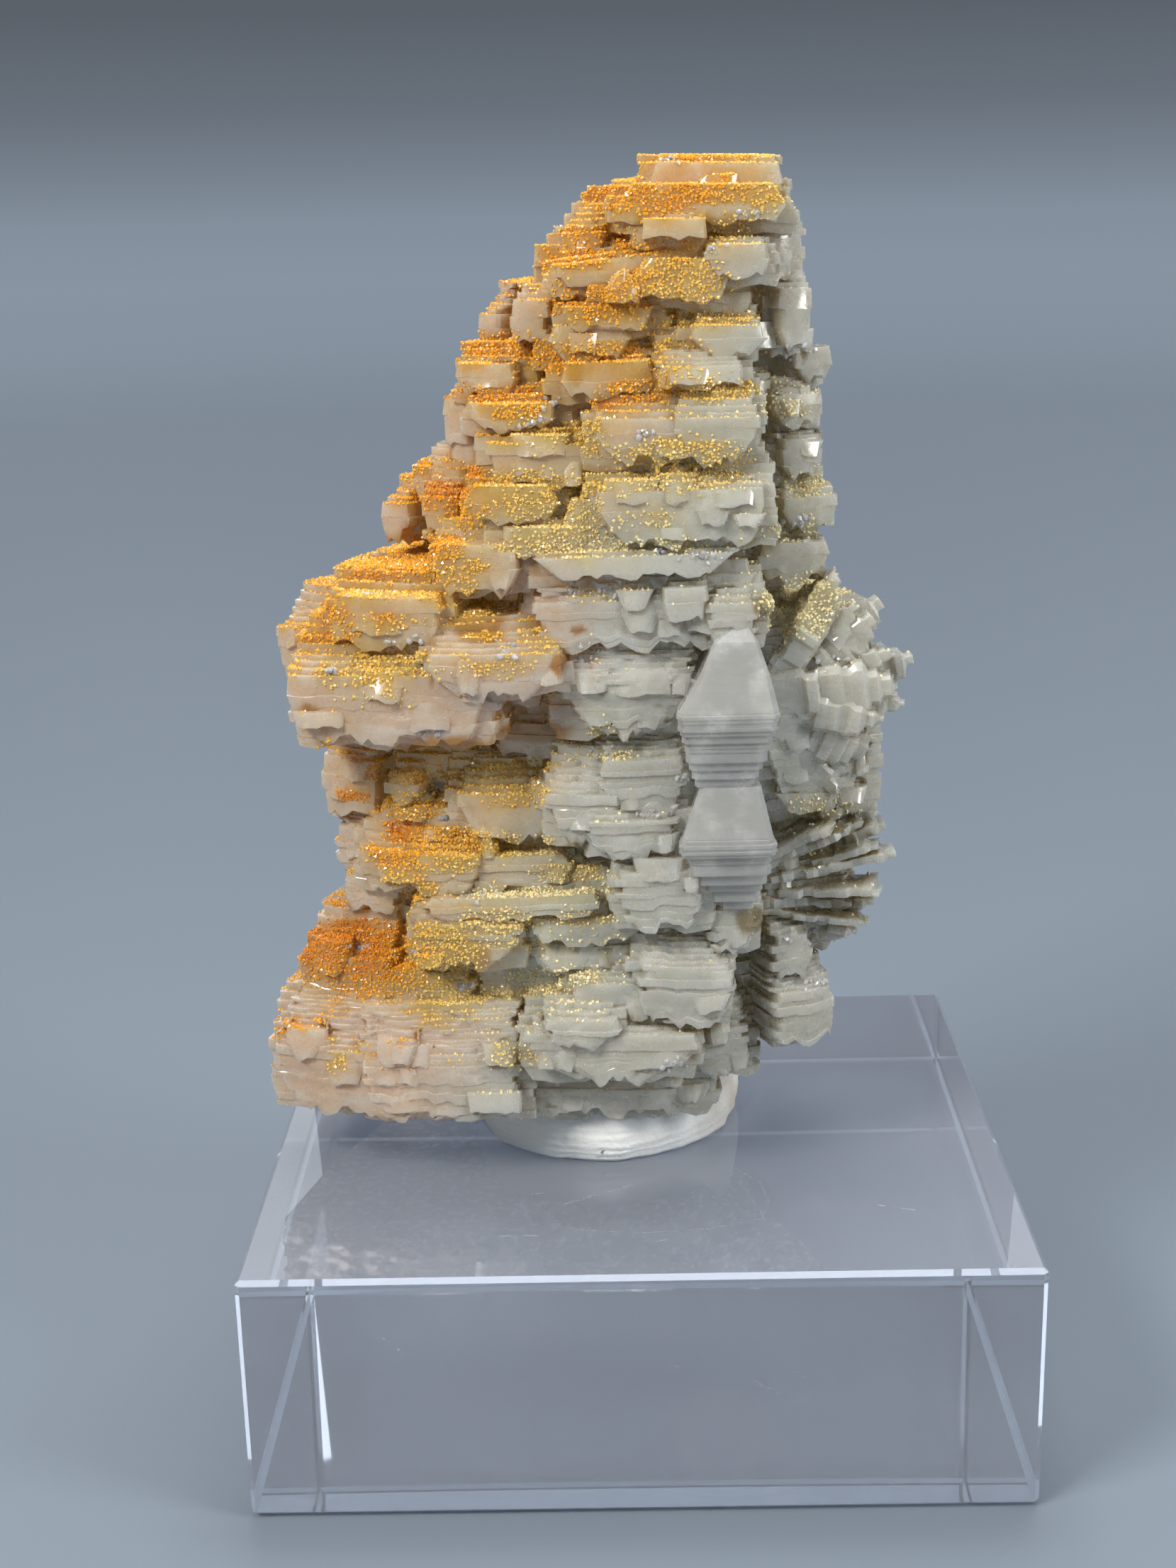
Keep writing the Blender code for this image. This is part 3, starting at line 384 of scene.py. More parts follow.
DRIFTS = (
    # Crown and high ledges
    Drift(5.5, 94.0, 3.4, 0.6, Tone.ORANGE),
    Drift(3.6, 91.6, 6.4, 0.6, Tone.ORANGE),
    Drift(9.8, 91.0, 1.3, 1.2, Tone.GOLDEN, 0.7),
    Drift(1.8, 90.6, 3.2, 0.5, Tone.ORANGE, 0.8),
    Drift(-1.8, 88.9, 2.6, 0.5, Tone.ORANGE),
    Drift(0.6, 87.9, 5.0, 0.5, Tone.ORANGE),
    Drift(-3.2, 87.1, 2.4, 0.5, Tone.ORANGE, 0.9),
    Drift(3.9, 85.6, 3.8, 1.4, Tone.AMBER),
    Drift(7.8, 89.2, 1.4, 0.8, Tone.GOLDEN, 0.7),
    Drift(-1.4, 84.2, 3.4, 1.1, Tone.ORANGE),
    Drift(-4.0, 85.2, 1.0, 0.5, Tone.ORANGE, 0.8),
    Drift(6.2, 83.0, 3.0, 0.6, Tone.GOLDEN, 0.7),
    Drift(2.6, 83.0, 1.6, 1.2, Tone.AMBER, 0.5),
    Drift(-8.4, 81.5, 3.2, 0.8, Tone.ORANGE),
    Drift(-5.2, 80.6, 1.4, 0.9, Tone.ORANGE),
    Drift(-1.6, 81.0, 3.0, 0.6, Tone.ORANGE),
    Drift(3.6, 81.4, 2.8, 0.3, Tone.AMBER, 0.7),
    # Upper body
    Drift(1.4, 78.3, 3.0, 0.9, Tone.ORANGE),
    Drift(6.4, 78.2, 2.8, 0.8, Tone.GOLDEN),
    Drift(-1.4, 77.6, 0.8, 0.7, Tone.DEEP, 0.9),
    Drift(-10.4, 78.3, 1.3, 0.5, Tone.DEEP, 0.9),
    Drift(-8.0, 77.9, 2.6, 0.6, Tone.ORANGE),
    Drift(-7.4, 76.9, 1.8, 0.8, Tone.AMBER),
    Drift(-4.2, 75.5, 2.6, 0.7, Tone.GOLDEN),
    Drift(-2.0, 74.2, 1.2, 0.8, Tone.GOLDEN, 0.7),
    Drift(4.0, 73.5, 4.8, 1.3, Tone.GOLDEN, 0.95),
    Drift(4.2, 72.1, 4.2, 1.0, Tone.STRAW, 0.75),
    Drift(-10.4, 72.5, 0.8, 0.7, Tone.DEEP),
    Drift(-7.6, 72.1, 2.9, 0.7, Tone.GOLDEN),
    Drift(-3.8, 71.5, 2.2, 0.8, Tone.GOLDEN, 0.9),
    Drift(-6.8, 70.2, 2.7, 0.8, Tone.GOLDEN, 0.9),
    Drift(-3.4, 69.2, 2.4, 1.7, Tone.STRAW, 0.6),
    Drift(-12.9, 71.2, 1.9, 0.9, Tone.DEEP),
    Drift(-14.6, 73.4, 0.9, 0.7, Tone.ORANGE),
    Drift(-11.2, 69.7, 1.9, 0.8, Tone.AMBER),
    Drift(-13.9, 67.3, 2.4, 1.1, Tone.ORANGE),
    Drift(-12.0, 66.0, 1.9, 1.0, Tone.AMBER),
    Drift(-6.0, 67.4, 3.4, 0.7, Tone.STRAW),
    Drift(1.2, 67.3, 6.6, 0.5, Tone.CREAM, 0.9),
    Drift(1.6, 69.2, 2.2, 0.6, Tone.STRAW, 0.7),
    Drift(11.4, 76.6, 1.8, 0.6, Tone.CREAM, 0.7),
    Drift(12.8, 71.4, 1.2, 1.0, Tone.CREAM, 0.7),
    Drift(11.8, 68.2, 2.6, 0.4, Tone.CREAM, 0.7),
    # Left shoulder
    Drift(-16.8, 65.9, 3.6, 0.7, Tone.ORANGE),
    Drift(-13.2, 65.5, 1.6, 0.8, Tone.AMBER),
    Drift(-11.6, 64.4, 0.9, 0.9, Tone.AMBER, 0.9),
    Drift(-21.2, 62.7, 1.2, 0.7, Tone.ORANGE),
    Drift(-22.2, 60.9, 1.9, 0.5, Tone.ORANGE),
    Drift(-20.2, 61.2, 0.8, 0.9, Tone.ORANGE),
    Drift(-17.9, 62.2, 1.2, 0.6, Tone.ORANGE),
    Drift(-15.8, 61.9, 1.6, 0.3, Tone.AMBER, 0.9),
    Drift(-18.6, 64.0, 1.2, 0.4, Tone.AMBER, 0.8),
    Drift(-17.5, 59.5, 2.9, 0.6, Tone.GOLDEN),
    Drift(-19.0, 58.2, 2.0, 0.9, Tone.GOLDEN, 0.75),
    Drift(-22.0, 58.2, 1.1, 0.9, Tone.GOLDEN, 0.5),
    Drift(-15.0, 58.1, 2.0, 0.4, Tone.GOLDEN, 0.4),
    Drift(-18.2, 56.2, 3.2, 0.6, Tone.GOLDEN, 0.3),
    Drift(-9.4, 58.4, 2.6, 0.6, Tone.GOLDEN, 0.55),
    Drift(-10.4, 60.7, 1.6, 0.4, Tone.AMBER, 0.7),
    # Left column
    Drift(-22.3, 53.1, 0.6, 0.4, Tone.ORANGE),
    Drift(-18.9, 50.6, 0.9, 0.4, Tone.DEEP),
    Drift(-20.6, 48.9, 1.3, 0.5, Tone.DEEP),
    Drift(-15.4, 50.3, 2.9, 0.5, Tone.AMBER, 0.9),
    Drift(-16.0, 48.0, 2.4, 1.2, Tone.AMBER, 0.8),
    Drift(-16.9, 46.1, 1.6, 1.0, Tone.DEEP, 0.95),
    Drift(-8.4, 50.9, 3.0, 0.5, Tone.GOLDEN),
    Drift(-8.0, 48.9, 2.2, 0.6, Tone.GOLDEN, 0.5),
    Drift(-8.8, 47.9, 2.9, 0.3, Tone.AMBER, 0.6),
    # Waist and belly
    Drift(-13.4, 45.2, 3.2, 1.1, Tone.AMBER),
    Drift(-17.9, 44.0, 1.7, 0.6, Tone.ORANGE),
    Drift(-17.2, 42.8, 1.9, 1.0, Tone.AMBER, 0.9),
    Drift(-16.0, 41.4, 1.4, 0.9, Tone.AMBER, 0.9),
    Drift(-13.2, 43.4, 1.8, 0.8, Tone.GOLDEN, 0.7),
    Drift(-9.6, 44.9, 1.7, 0.9, Tone.GOLDEN, 0.8),
    Drift(-7.0, 44.8, 1.5, 0.9, Tone.STRAW, 0.6),
    Drift(-4.8, 42.6, 2.7, 0.8, Tone.STRAW, 0.8),
    Drift(-7.0, 41.1, 5.2, 0.4, Tone.CREAM, 0.9),
    Drift(-10.2, 38.8, 3.4, 1.0, Tone.STRAW, 0.75),
    Drift(-4.0, 38.9, 2.6, 0.8, Tone.STRAW, 0.5),
    Drift(-9.4, 36.9, 2.6, 0.5, Tone.STRAW, 0.7),
    Drift(-3.2, 37.4, 2.9, 0.3, Tone.CREAM, 0.7),
    # Foot
    Drift(-20.6, 36.2, 4.6, 2.9, Tone.DEEP),
    Drift(-23.4, 34.8, 1.9, 0.7, Tone.ORANGE),
    Drift(-15.0, 36.2, 3.6, 2.4, Tone.GOLDEN, 0.95),
    Drift(-18.0, 33.9, 5.4, 0.9, Tone.AMBER, 0.85),
    Drift(-11.0, 33.0, 5.5, 0.4, Tone.STRAW, 0.9),
    Drift(-6.0, 34.2, 3.8, 0.9, Tone.CREAM, 0.8),
    Drift(-23.2, 27.4, 0.9, 1.0, Tone.GOLDEN, 0.6),
    Drift(-9.2, 27.6, 2.2, 1.0, Tone.STRAW, 0.5),
    # Pale right side
    Drift(-1.2, 51.6, 1.8, 0.3, Tone.CREAM, 0.7),
    Drift(-2.2, 53.6, 1.4, 0.5, Tone.STRAW, 0.6),
    Drift(12.6, 62.6, 2.8, 2.2, Tone.CREAM, 0.8),
    Drift(14.2, 47.4, 3.0, 0.8, Tone.CREAM, 0.5),
)

# Deep gaps with painted shade and a painted brown or amber glow: x, z, half width and half height in the
# front view
HOLLOW_SHADE_AND_GLOW = (
    (-10.9, 62.0, 2.0, 1.7),
    (-5.0, 58.7, 0.8, 0.8),
    (-13.5, 52.3, 4.2, 0.9),
    (-7.0, 53.4, 3.0, 0.8),
    (-4.2, 44.4, 0.9, 0.6),
    (-12.4, 35.9, 1.7, 1.4),
    (-2.4, 72.8, 1.0, 0.5),
    (-3.4, 79.6, 1.0, 0.8),
    (9.6, 45.6, 0.9, 1.6),
    (9.0, 38.6, 1.2, 1.2),
    (10.2, 62.6, 1.2, 1.0),
)


def front_view(points: np.ndarray) -> tuple[np.ndarray, np.ndarray]:
    """Where rows of points in millimetres are seen in the upright plane of the drifts."""
    share = (DRIFT_PLANE_Y - SIGHT[1]) / (points[:, 1] - SIGHT[1])
    return SIGHT[0] + (points[:, 0] - SIGHT[0]) * share, SIGHT[2] + (points[:, 2] - SIGHT[2]) * share


# Growth layers: thickness, and how unlike each layer is to the one below

@dataclass(frozen=True)
class Growth:
    """How a crystal is laminated. Lengths are in millimetres."""

    face: tuple[float, float] = (0.7, 1.5)
    tread: tuple[float, float] = (0.26, 0.5)
    end_step: float = 0.22
    face_step: float = 0.035
    scallop: float = 0.42
    teeth: float = 0.5
    relief: float = 0.10
    lean_back: float = 0.35
    fine: float = 0.62


def edge_wave(along: np.ndarray, rng: random.Random, lengths: Sequence[float]) -> np.ndarray:
    """A loose wave along an edge, as a sum of sines of the given wavelengths."""
    wave = np.zeros_like(along)
    for length in lengths:
        wave += math.sqrt(length) * np.sin(2 * math.pi * along / length + rng.uniform(0, 2 * math.pi))
    return wave / sum(math.sqrt(length) for length in lengths)


def stepped_wave(along: np.ndarray, rng: random.Random, lengths: Sequence[float]) -> np.ndarray:
    """A wave with flat crests and steep flanks, as the cut edge of a crystal has."""
    return np.tanh(2.6 * edge_wave(along, rng, lengths))


def lobe_matrix(lobe: Lobe, rng: random.Random) -> Matrix:
    """Set a lobe at its place, turned to its side and tipped a little."""
    middle = Vector((lobe.x, lobe.y, (lobe.low + lobe.high) / 2))
    tip = Euler(
        (
            math.radians(rng.uniform(-1.5, 1.5)),
            math.radians(-lobe.lean + rng.uniform(-1.8, 1.8)),
            math.radians(lobe.turn),
        )
    )
    return Matrix.Translation(middle) @ tip.to_matrix().to_4x4() @ Matrix.Translation((0, 0, -middle.z))


def ring_mesh(name: str, rings: Sequence[np.ndarray], matrix: Matrix) -> bpy.types.Mesh:
    """Join rings of the same count into one closed mesh, capped at both ends.

    Args:
        name: Name of the mesh.
        rings: The rings from the lowest to the highest, each as rows of x, y and z in millimetres.
        matrix: Places the rings in the shared frame.

    Returns:
        The mesh, in metres.
    """
    count = len(rings[0])
    points = np.concatenate(rings)
    turn = np.array(matrix)
    points = (points @ turn[:3, :3].T + turn[:3, 3]) * MM
    faces = [list(range(count))[::-1], list(range(count * (len(rings) - 1), count * len(rings)))]
    for r in range(len(rings) - 1):
        low = r * count
        for k in range(count):
            after = (k + 1) % count
            faces.append((low + k, low + after, low + count + after, low + count + k))
    mesh = bpy.data.meshes.new(name)
    mesh.from_pydata(points.tolist(), [], faces)
    return mesh


def layer_heights(lobe: Lobe, growth: Growth, rng: random.Random) -> list[tuple[float, float, bool]]:
    """Divide a lobe into growth layers, as (bottom, top, whether it belongs to the sloping tread)."""
    tall = lobe.high - lobe.low
    layers = []
    height = lobe.low
    while height < lobe.high - 0.1:
        sloping = height - lobe.low > (BROW_SHARE - 0.04) * tall
        thick = rng.uniform(*(growth.tread if sloping else growth.face))
        if lobe.high - height - thick < 0.12:
            thick = lobe.high - height
        layers.append((height, height + thick, sloping))
        height += thick
    return layers


def face_flutes(x: np.ndarray, rng: random.Random, relief: float) -> np.ndarray:
    """Upright facets across a face, each set back a little from its neighbour."""
    flutes = 0.05 * edge_wave(x, rng, (5.3, 2.7))
    for _ in range(1 + len(x) // 9):
        seam = rng.uniform(x[0], x[-1])
        flutes = flutes + np.where(x > seam, rng.uniform(-1, 1) * relief, 0.0)
    return flutes


def side_profile(keel: float, crest: float) -> tuple[float, ...]:
    """A lobe's half width, as shares, from its keel up to its crest."""
    return (keel, keel + 0.62 * (1 - keel), 1.0, 0.97, crest)


def laminated(lobe: Lobe, growth: Growth) -> bpy.types.Mesh:
    """Build a lobe as a pile of growth layers: a flat face with a toothed keel, and a stepped tread above it.

    Args:
        lobe: The lobe.
        growth: How its layers are stepped and scalloped.

    Returns:
        A closed mesh in metres.
    """
    rng = random.Random(lobe.name)
    matrix = lobe_matrix(lobe, rng)
    half = lobe.width / 2
    reach = lobe.depth / 2
    columns = max(4, round(lobe.width / growth.fine)) + 1
    share_x = np.linspace(-1, 1, columns)
    line = share_x * half
    flutes = face_flutes(line, rng, growth.relief) + 0.3 * share_x**2
    tall = lobe.high - lobe.low
    teeth = growth.teeth * min(1.0, tall / 4) * stepped_wave(line, rng, (5.9, 3.1, 1.7)) * (1 - share_x**8)
    keels = [min(1.0, lobe.keel + rng.uniform(-0.1, 0.12)) for _ in range(2)]
    crests = [min(1.0, lobe.crest + rng.uniform(-0.08, 0.1)) for _ in range(2)]
    corners = [rng.uniform(0.15, 0.7) for _ in range(2)]
    stops = (0.0, KEEL_SHARE * 0.45, KEEL_SHARE, BROW_SHARE, 1.0)
    run = max(1.2, (1 - lobe.crest) * lobe.depth * TREAD_RUN)
    scallops = growth.scallop * edge_wave(line, rng, (7.1, 3.3, 1.9))
    rings = []
    for bottom, top, sloping in layer_heights(lobe, growth, rng):
        ends = [rng.uniform(-1, 1) * growth.end_step for _ in range(2)]
        slip = rng.uniform(-1, 1) * growth.face_step
        if sloping:
            scallops = scallops * 0.6 + growth.scallop * 0.6 * edge_wave(line, rng, (6.1, 2.9, 1.5))
        for level in (bottom + SEAM, top - SEAM):
            share = ((bottom + top) / 2 if sloping else level) - lobe.low
            share /= tall
            left, right = (
                float(np.interp(share, stops, side_profile(keel, crest))) * half + end
                for keel, crest, end in zip(keels, crests, ends)
            )
            back = growth.lean_back * share
            if sloping:
                back += run * (share - BROW_SHARE + 0.04) / (1 - BROW_SHARE)
            front_line = flutes + slip + back + (scallops if sloping else 0.0)
            x = np.where(line < 0, share_x * left, share_x * right)
            rise = max(0.0, 1 - (level - lobe.low) / max(1.6, 0.55 * tall)) ** 1.5
            edge = np.column_stack((x, front_line - reach, level + teeth * rise))
            y = front_line[[0, -1]] - reach
            bevel = (
                (right + 0.02, y[1] + corners[1], level),
                (right * 0.96, -reach * 0.1, level),
                (right * 0.7, reach, level),
                (-left * 0.7, reach, level),
                (-left * 0.96, -reach * 0.1, level),
                (-left - 0.02, y[0] + corners[0], level),
            )
            edge[0, 0] += 0.4 * corners[0]
            edge[-1, 0] -= 0.4 * corners[1]
            rings.append(np.concatenate((edge, np.array(bevel))))
    return ring_mesh(lobe.name, rings, matrix)


# Node trees

class Wiring:
    """Adds and links nodes in one node tree."""

    def __init__(self, tree: bpy.types.NodeTree) -> None:
        """Keep the tree."""
        self.tree = tree

    def add(self, kind: str, inputs: Optional[dict] = None, **settings) -> bpy.types.Node:
        """Add a node.

        Args:
            kind: The node's type.
            inputs: Values or sockets for its inputs, by name or by place.
            **settings: Properties of the node.

        Returns:
            The node.
        """
        node = self.tree.nodes.new(kind)
        for key, value in settings.items():
            setattr(node, key, value)
        for key, value in (inputs or {}).items():
            socket = node.inputs[key]
            if isinstance(value, bpy.types.NodeSocket):
                self.tree.links.new(value, socket)
            else:
                socket.default_value = value
        return node

    def math(self, operation: str, *values, clamp: bool = False) -> bpy.types.NodeSocket:
        """A Math node's result."""
        node = self.add("ShaderNodeMath", dict(enumerate(values)), operation=operation, use_clamp=clamp)
        return node.outputs[0]

    def vector(self, operation: str, *values) -> bpy.types.NodeSocket:
        """A Vector Math node's result."""
        return self.add("ShaderNodeVectorMath", dict(enumerate(values)), operation=operation).outputs[0]

    def spread(self, value, low: float, high: float, to_low: float = 0.0, to_high: float = 1.0):
        """Map a value from one range to another, smoothly and clamped."""
        inputs = {"Value": value, "From Min": low, "From Max": high, "To Min": to_low, "To Max": to_high}
        return self.add("ShaderNodeMapRange", inputs, interpolation_type="SMOOTHSTEP").outputs["Result"]

    def mix(self, factor, first, second, blend: str = "MIX") -> bpy.types.NodeSocket:
        """Mix two colours."""
        node = self.add("ShaderNodeMix", data_type="RGBA", blend_type=blend)
        for socket, value in zip((node.inputs[0], node.inputs[6], node.inputs[7]), (factor, first, second)):
            if isinstance(value, bpy.types.NodeSocket):
                self.tree.links.new(value, socket)
            else:
                socket.default_value = value if isinstance(value, (int, float)) else (*value, 1.0)[:4]
        return node.outputs[2]

    def noise(self, vector, scale: float, detail: float = 3.0, roughness: float = 0.5):
        """A Noise Texture's value."""
        inputs = {"Vector": vector, "Scale": scale, "Detail": detail, "Roughness": roughness}
        return self.add("ShaderNodeTexNoise", inputs).outputs[0]

    def ramp(self, value, stops: Iterable[tuple[float, tuple[float, float, float]]]):
        """A Color Ramp through the given stops."""
        node = self.add("ShaderNodeValToRGB", {"Fac": value})
        elements = node.color_ramp.elements
        for k, (place, colour) in enumerate(stops):
            element = elements[k] if k < 2 else elements.new(place)
            element.position = place
            element.color = (*colour, 1.0)
        return node.outputs["Color"]


def group(name: str, inputs: dict[str, tuple[str, object]], outputs: dict[str, str]):
    """Start a shader node group.

    Args:
        name: The group's name.
        inputs: Kind and default of each input, by name.
        outputs: Kind of each output, by name.

    Returns:
        The group, its wiring, its input node and its output node.
    """
    tree = bpy.data.node_groups.new(name, "ShaderNodeTree")
    for label, (kind, value) in inputs.items():
        socket = tree.interface.new_socket(label, in_out="INPUT", socket_type=kind)
        if value is not None:
            socket.default_value = value
    for label, kind in outputs.items():
        tree.interface.new_socket(label, in_out="OUTPUT", socket_type=kind)
    wiring = Wiring(tree)
    return tree, wiring, wiring.add("NodeGroupInput"), wiring.add("NodeGroupOutput")


def warmth_group() -> bpy.types.NodeTree:
    """Where the specimen turns from pale at the lower right to deep orange at the left and the crown."""
    tree, w, given, result = group(
        "warmth_by_place",
        {
            "Place": ("NodeSocketVector", None), "Width": ("NodeSocketFloat", WARM_WIDTH),
            "Wander": ("NodeSocketFloat", 0.5),
        },
        {"Warmth": "NodeSocketFloat"},
    )
    place = w.add("ShaderNodeSeparateXYZ", {0: given.outputs["Place"]})
    across, up = (w.math("MULTIPLY", place.outputs[k], 1 / MM) for k in (0, 2))
    rise = w.math("SUBTRACT", up, WARM_MIDDLE)
    bend = w.math("MULTIPLY", w.math("MULTIPLY", rise, rise), WARM_BEND)
    golden = w.math("ADD", w.math("MULTIPLY_ADD", rise, WARM_SLOPE, WARM_EDGE), bend)
    away = w.math("DIVIDE", w.math("SUBTRACT", golden, across), given.outputs["Width"])
    loose = w.math("SUBTRACT", w.noise(given.outputs["Place"], 170.0, 2.0), 0.5)
    wander = w.math("MULTIPLY", loose, given.outputs["Wander"])
    warmth = w.math("ADD", w.math("ADD", away, 0.5), wander, clamp=True)
    w.tree.links.new(warmth, result.inputs["Warmth"])
    return tree


def striation_group() -> bpy.types.NodeTree:
    """Fine level growth lines, as a height and as a mask of the pale lines."""
    tree, w, given, result = group(
        "growth_lines",
        {"Place": ("NodeSocketVector", None), "Fineness": ("NodeSocketFloat", 1.0)},
        {"Height": "NodeSocketFloat", "Pale": "NodeSocketFloat", "Frost": "NodeSocketFloat"},
    )
    inputs = {0: given.outputs["Place"], "Scale": given.outputs["Fineness"]}
    scaled = w.add("ShaderNodeVectorMath", inputs, operation="SCALE")
    level = w.add("ShaderNodeMapping", {"Vector": scaled.outputs[0], "Scale": (0.16, 0.16, 1.0)})
    lines = w.noise(level.outputs[0], 2600.0, 3.0, 0.6)
    bands = w.noise(level.outputs[0], 900.0, 2.0, 0.5)
    frost = w.noise(scaled.outputs[0], 1500.0, 4.0, 0.6)
    height = w.math("ADD", w.math("MULTIPLY", lines, 0.85), w.math("MULTIPLY", frost, 0.15))
    w.tree.links.new(height, result.inputs["Height"])
    w.tree.links.new(w.spread(bands, 0.52, 0.72), result.inputs["Pale"])
    w.tree.links.new(w.spread(frost, 0.35, 0.7), result.inputs["Frost"])
    return tree


def scratch_group() -> bpy.types.NodeTree:
    """One straight scratch between two places."""
    tree, w, given, result = group(
        "scratch",
        {
            **{name: ("NodeSocketVector", None) for name in ("Place", "Start", "End")},
            "Width": ("NodeSocketFloat", 0.0001), "Depth": ("NodeSocketFloat", 1.0),
        },
        {"Mask": "NodeSocketFloat"},
    )
    place, start, end = (given.outputs[name] for name in ("Place", "Start", "End"))
    run = w.vector("SUBTRACT", end, start)
    offset = w.vector("SUBTRACT", place, start)
    along, whole = (
        w.add("ShaderNodeVectorMath", {0: way, 1: run}, operation="DOT_PRODUCT").outputs["Value"]
        for way in (offset, run)
    )
    share = w.math("DIVIDE", along, whole, clamp=True)
    nearest = w.add("ShaderNodeVectorMath", {0: run, "Scale": share}, operation="SCALE").outputs[0]
    away = w.add("ShaderNodeVectorMath", {0: offset, 1: nearest}, operation="DISTANCE").outputs["Value"]
    near = w.math("SUBTRACT", 1.0, w.math("DIVIDE", away, given.outputs["Width"]), clamp=True)
    w.tree.links.new(w.math("MULTIPLY", near, given.outputs["Depth"]), result.inputs["Mask"])
    return tree


class Groups:
    """The shader groups that several finishes use, each built once."""

    def __init__(self) -> None:
        """Build the groups."""
        self.warmth = warmth_group()
        self.lines = striation_group()
        self.scratch = scratch_group()


def attribute(w: Wiring, name: str) -> bpy.types.NodeSocket:
    """A value stored on the mesh."""
    return w.add("ShaderNodeAttribute", attribute_name=name).outputs["Fac"]


def new_material(name: str) -> tuple[bpy.types.Material, Wiring, bpy.types.Node]:
    """Start a material.

    Returns:
        The material, its wiring and its Principled shader.
    """
    made = bpy.data.materials.new(name)
    made.use_nodes = True
    return made, Wiring(made.node_tree), made.node_tree.nodes["Principled BSDF"]


def group_node(w: Wiring, tree: bpy.types.NodeTree, **inputs) -> bpy.types.Node:
    """Place a group with its input values."""
    node = w.add("ShaderNodeGroup", node_tree=tree)
    for key, value in inputs.items():
        if isinstance(value, bpy.types.NodeSocket):
            w.tree.links.new(value, node.inputs[key])
        else:
            node.inputs[key].default_value = value
    return node


@dataclass(frozen=True)
class CalciteFinish:
    """Cloudy to clear calcite: taupe where it is warm and grey-white where it is pale, with painted shade and
    glow, olive to amber, in its recesses, painted highlights at its edges and a painted glow round the sugar.
    """

    name: str = "calcite_crystal"
    clear: Colour = (0.63, 0.62, 0.53)
    cloudy: Colour = (0.78, 0.57, 0.40)
    # Milky white of the clouds and growth lines, also used for painted highlights at the edges.
    milk_and_highlight: Colour = (0.90, 0.87, 0.80)
    # Painted shade and glow in the recesses: olive on the pale side, amber on the warm side.
    amber: Colour = (0.46, 0.21, 0.035)
    olive: Colour = (0.30, 0.24, 0.12)
    # Colours of the sugar where it lies, also used for the painted glow round the drifts.
    stains_and_glow: tuple[Colour, Colour, Colour] = ((0.74, 0.64, 0.34), (0.76, 0.48, 0.10), (0.80, 0.33, 0.025))
    stain_and_glow_tones: tuple[float, float, float] = (0.1, 0.45, 0.85)
    roughness: tuple[float, float] = (0.10, 0.34)
    transmission: float = 0.5
    ior: float = 1.58
    scatter: float = 0.003
    bump: float = 0.22
    coat: float = 0.3

    def material(self, groups: Groups) -> bpy.types.Material:
        """Build the material."""
        made, w, shader = new_material(self.name)
        place = w.add("ShaderNodeTexCoord").outputs["Object"]
        warmth = group_node(w, groups.warmth, Place=place, Width=16.0, Wander=0.7).outputs["Warmth"]
        lines = group_node(w, groups.lines, Place=place, Fineness=1.0)
        recess = attribute(w, "recess")
        sugar = attribute(w, "dusting")
        tone = w.mix(w.spread(warmth, 0.15, 0.75), self.clear, self.cloudy)
        rim = attribute(w, "rim")
        puffs = w.spread(w.noise(place, 260.0, 3.0, 0.6), 0.5, 0.66)
        clouds = w.math("MULTIPLY", puffs, w.spread(warmth, 0.0, 0.5, 0.7, 0.3))
        # Pale growth lines and clouds are the crystal's own; the whiter sharp edges are painted highlights.
        pale = w.math("MULTIPLY", lines.outputs["Pale"], 0.5)
        pale = w.math("MAXIMUM", pale, w.math("MULTIPLY", rim, 0.42))
        pale = w.math("MAXIMUM", pale, clouds)
        tone = w.mix(pale, tone, self.milk_and_highlight)
        # Painted shade and glow: recesses turn olive on the pale side and amber on the warm side.
        hollow = w.mix(w.spread(warmth, 0.1, 0.5), self.olive, self.amber)
        tone = w.mix(w.spread(recess, 0.12, 0.7, 0.0, 0.95), tone, hollow)
        # The sugar's colour where it lies, and a painted glow round the drifts.
        dust_and_glow = w.ramp(attribute(w, "tone"), zip(self.stain_and_glow_tones, self.stains_and_glow))
        tone = w.mix(w.spread(sugar, 0.0, 0.6, 0.0, 0.9), tone, dust_and_glow)
        w.tree.links.new(tone, shader.inputs["Base Color"])
        rough = w.spread(lines.outputs["Frost"], 0.0, 1.0, *self.roughness)
        w.tree.links.new(rough, shader.inputs["Roughness"])
        inputs = {"Height": lines.outputs["Height"], "Strength": self.bump, "Distance": 0.00008}
        w.tree.links.new(w.add("ShaderNodeBump", inputs).outputs[0], shader.inputs["Normal"])
        shader.inputs["IOR"].default_value = self.ior
        shader.inputs["Transmission Weight"].default_value = self.transmission
        shader.inputs["Subsurface Weight"].default_value = 0.5
        shader.inputs["Subsurface Radius"].default_value = (1.0, 0.72, 0.48)
        shader.inputs["Subsurface Scale"].default_value = self.scatter
        shader.inputs["Coat Weight"].default_value = self.coat
        shader.inputs["Coat Roughness"].default_value = 0.06
        return made


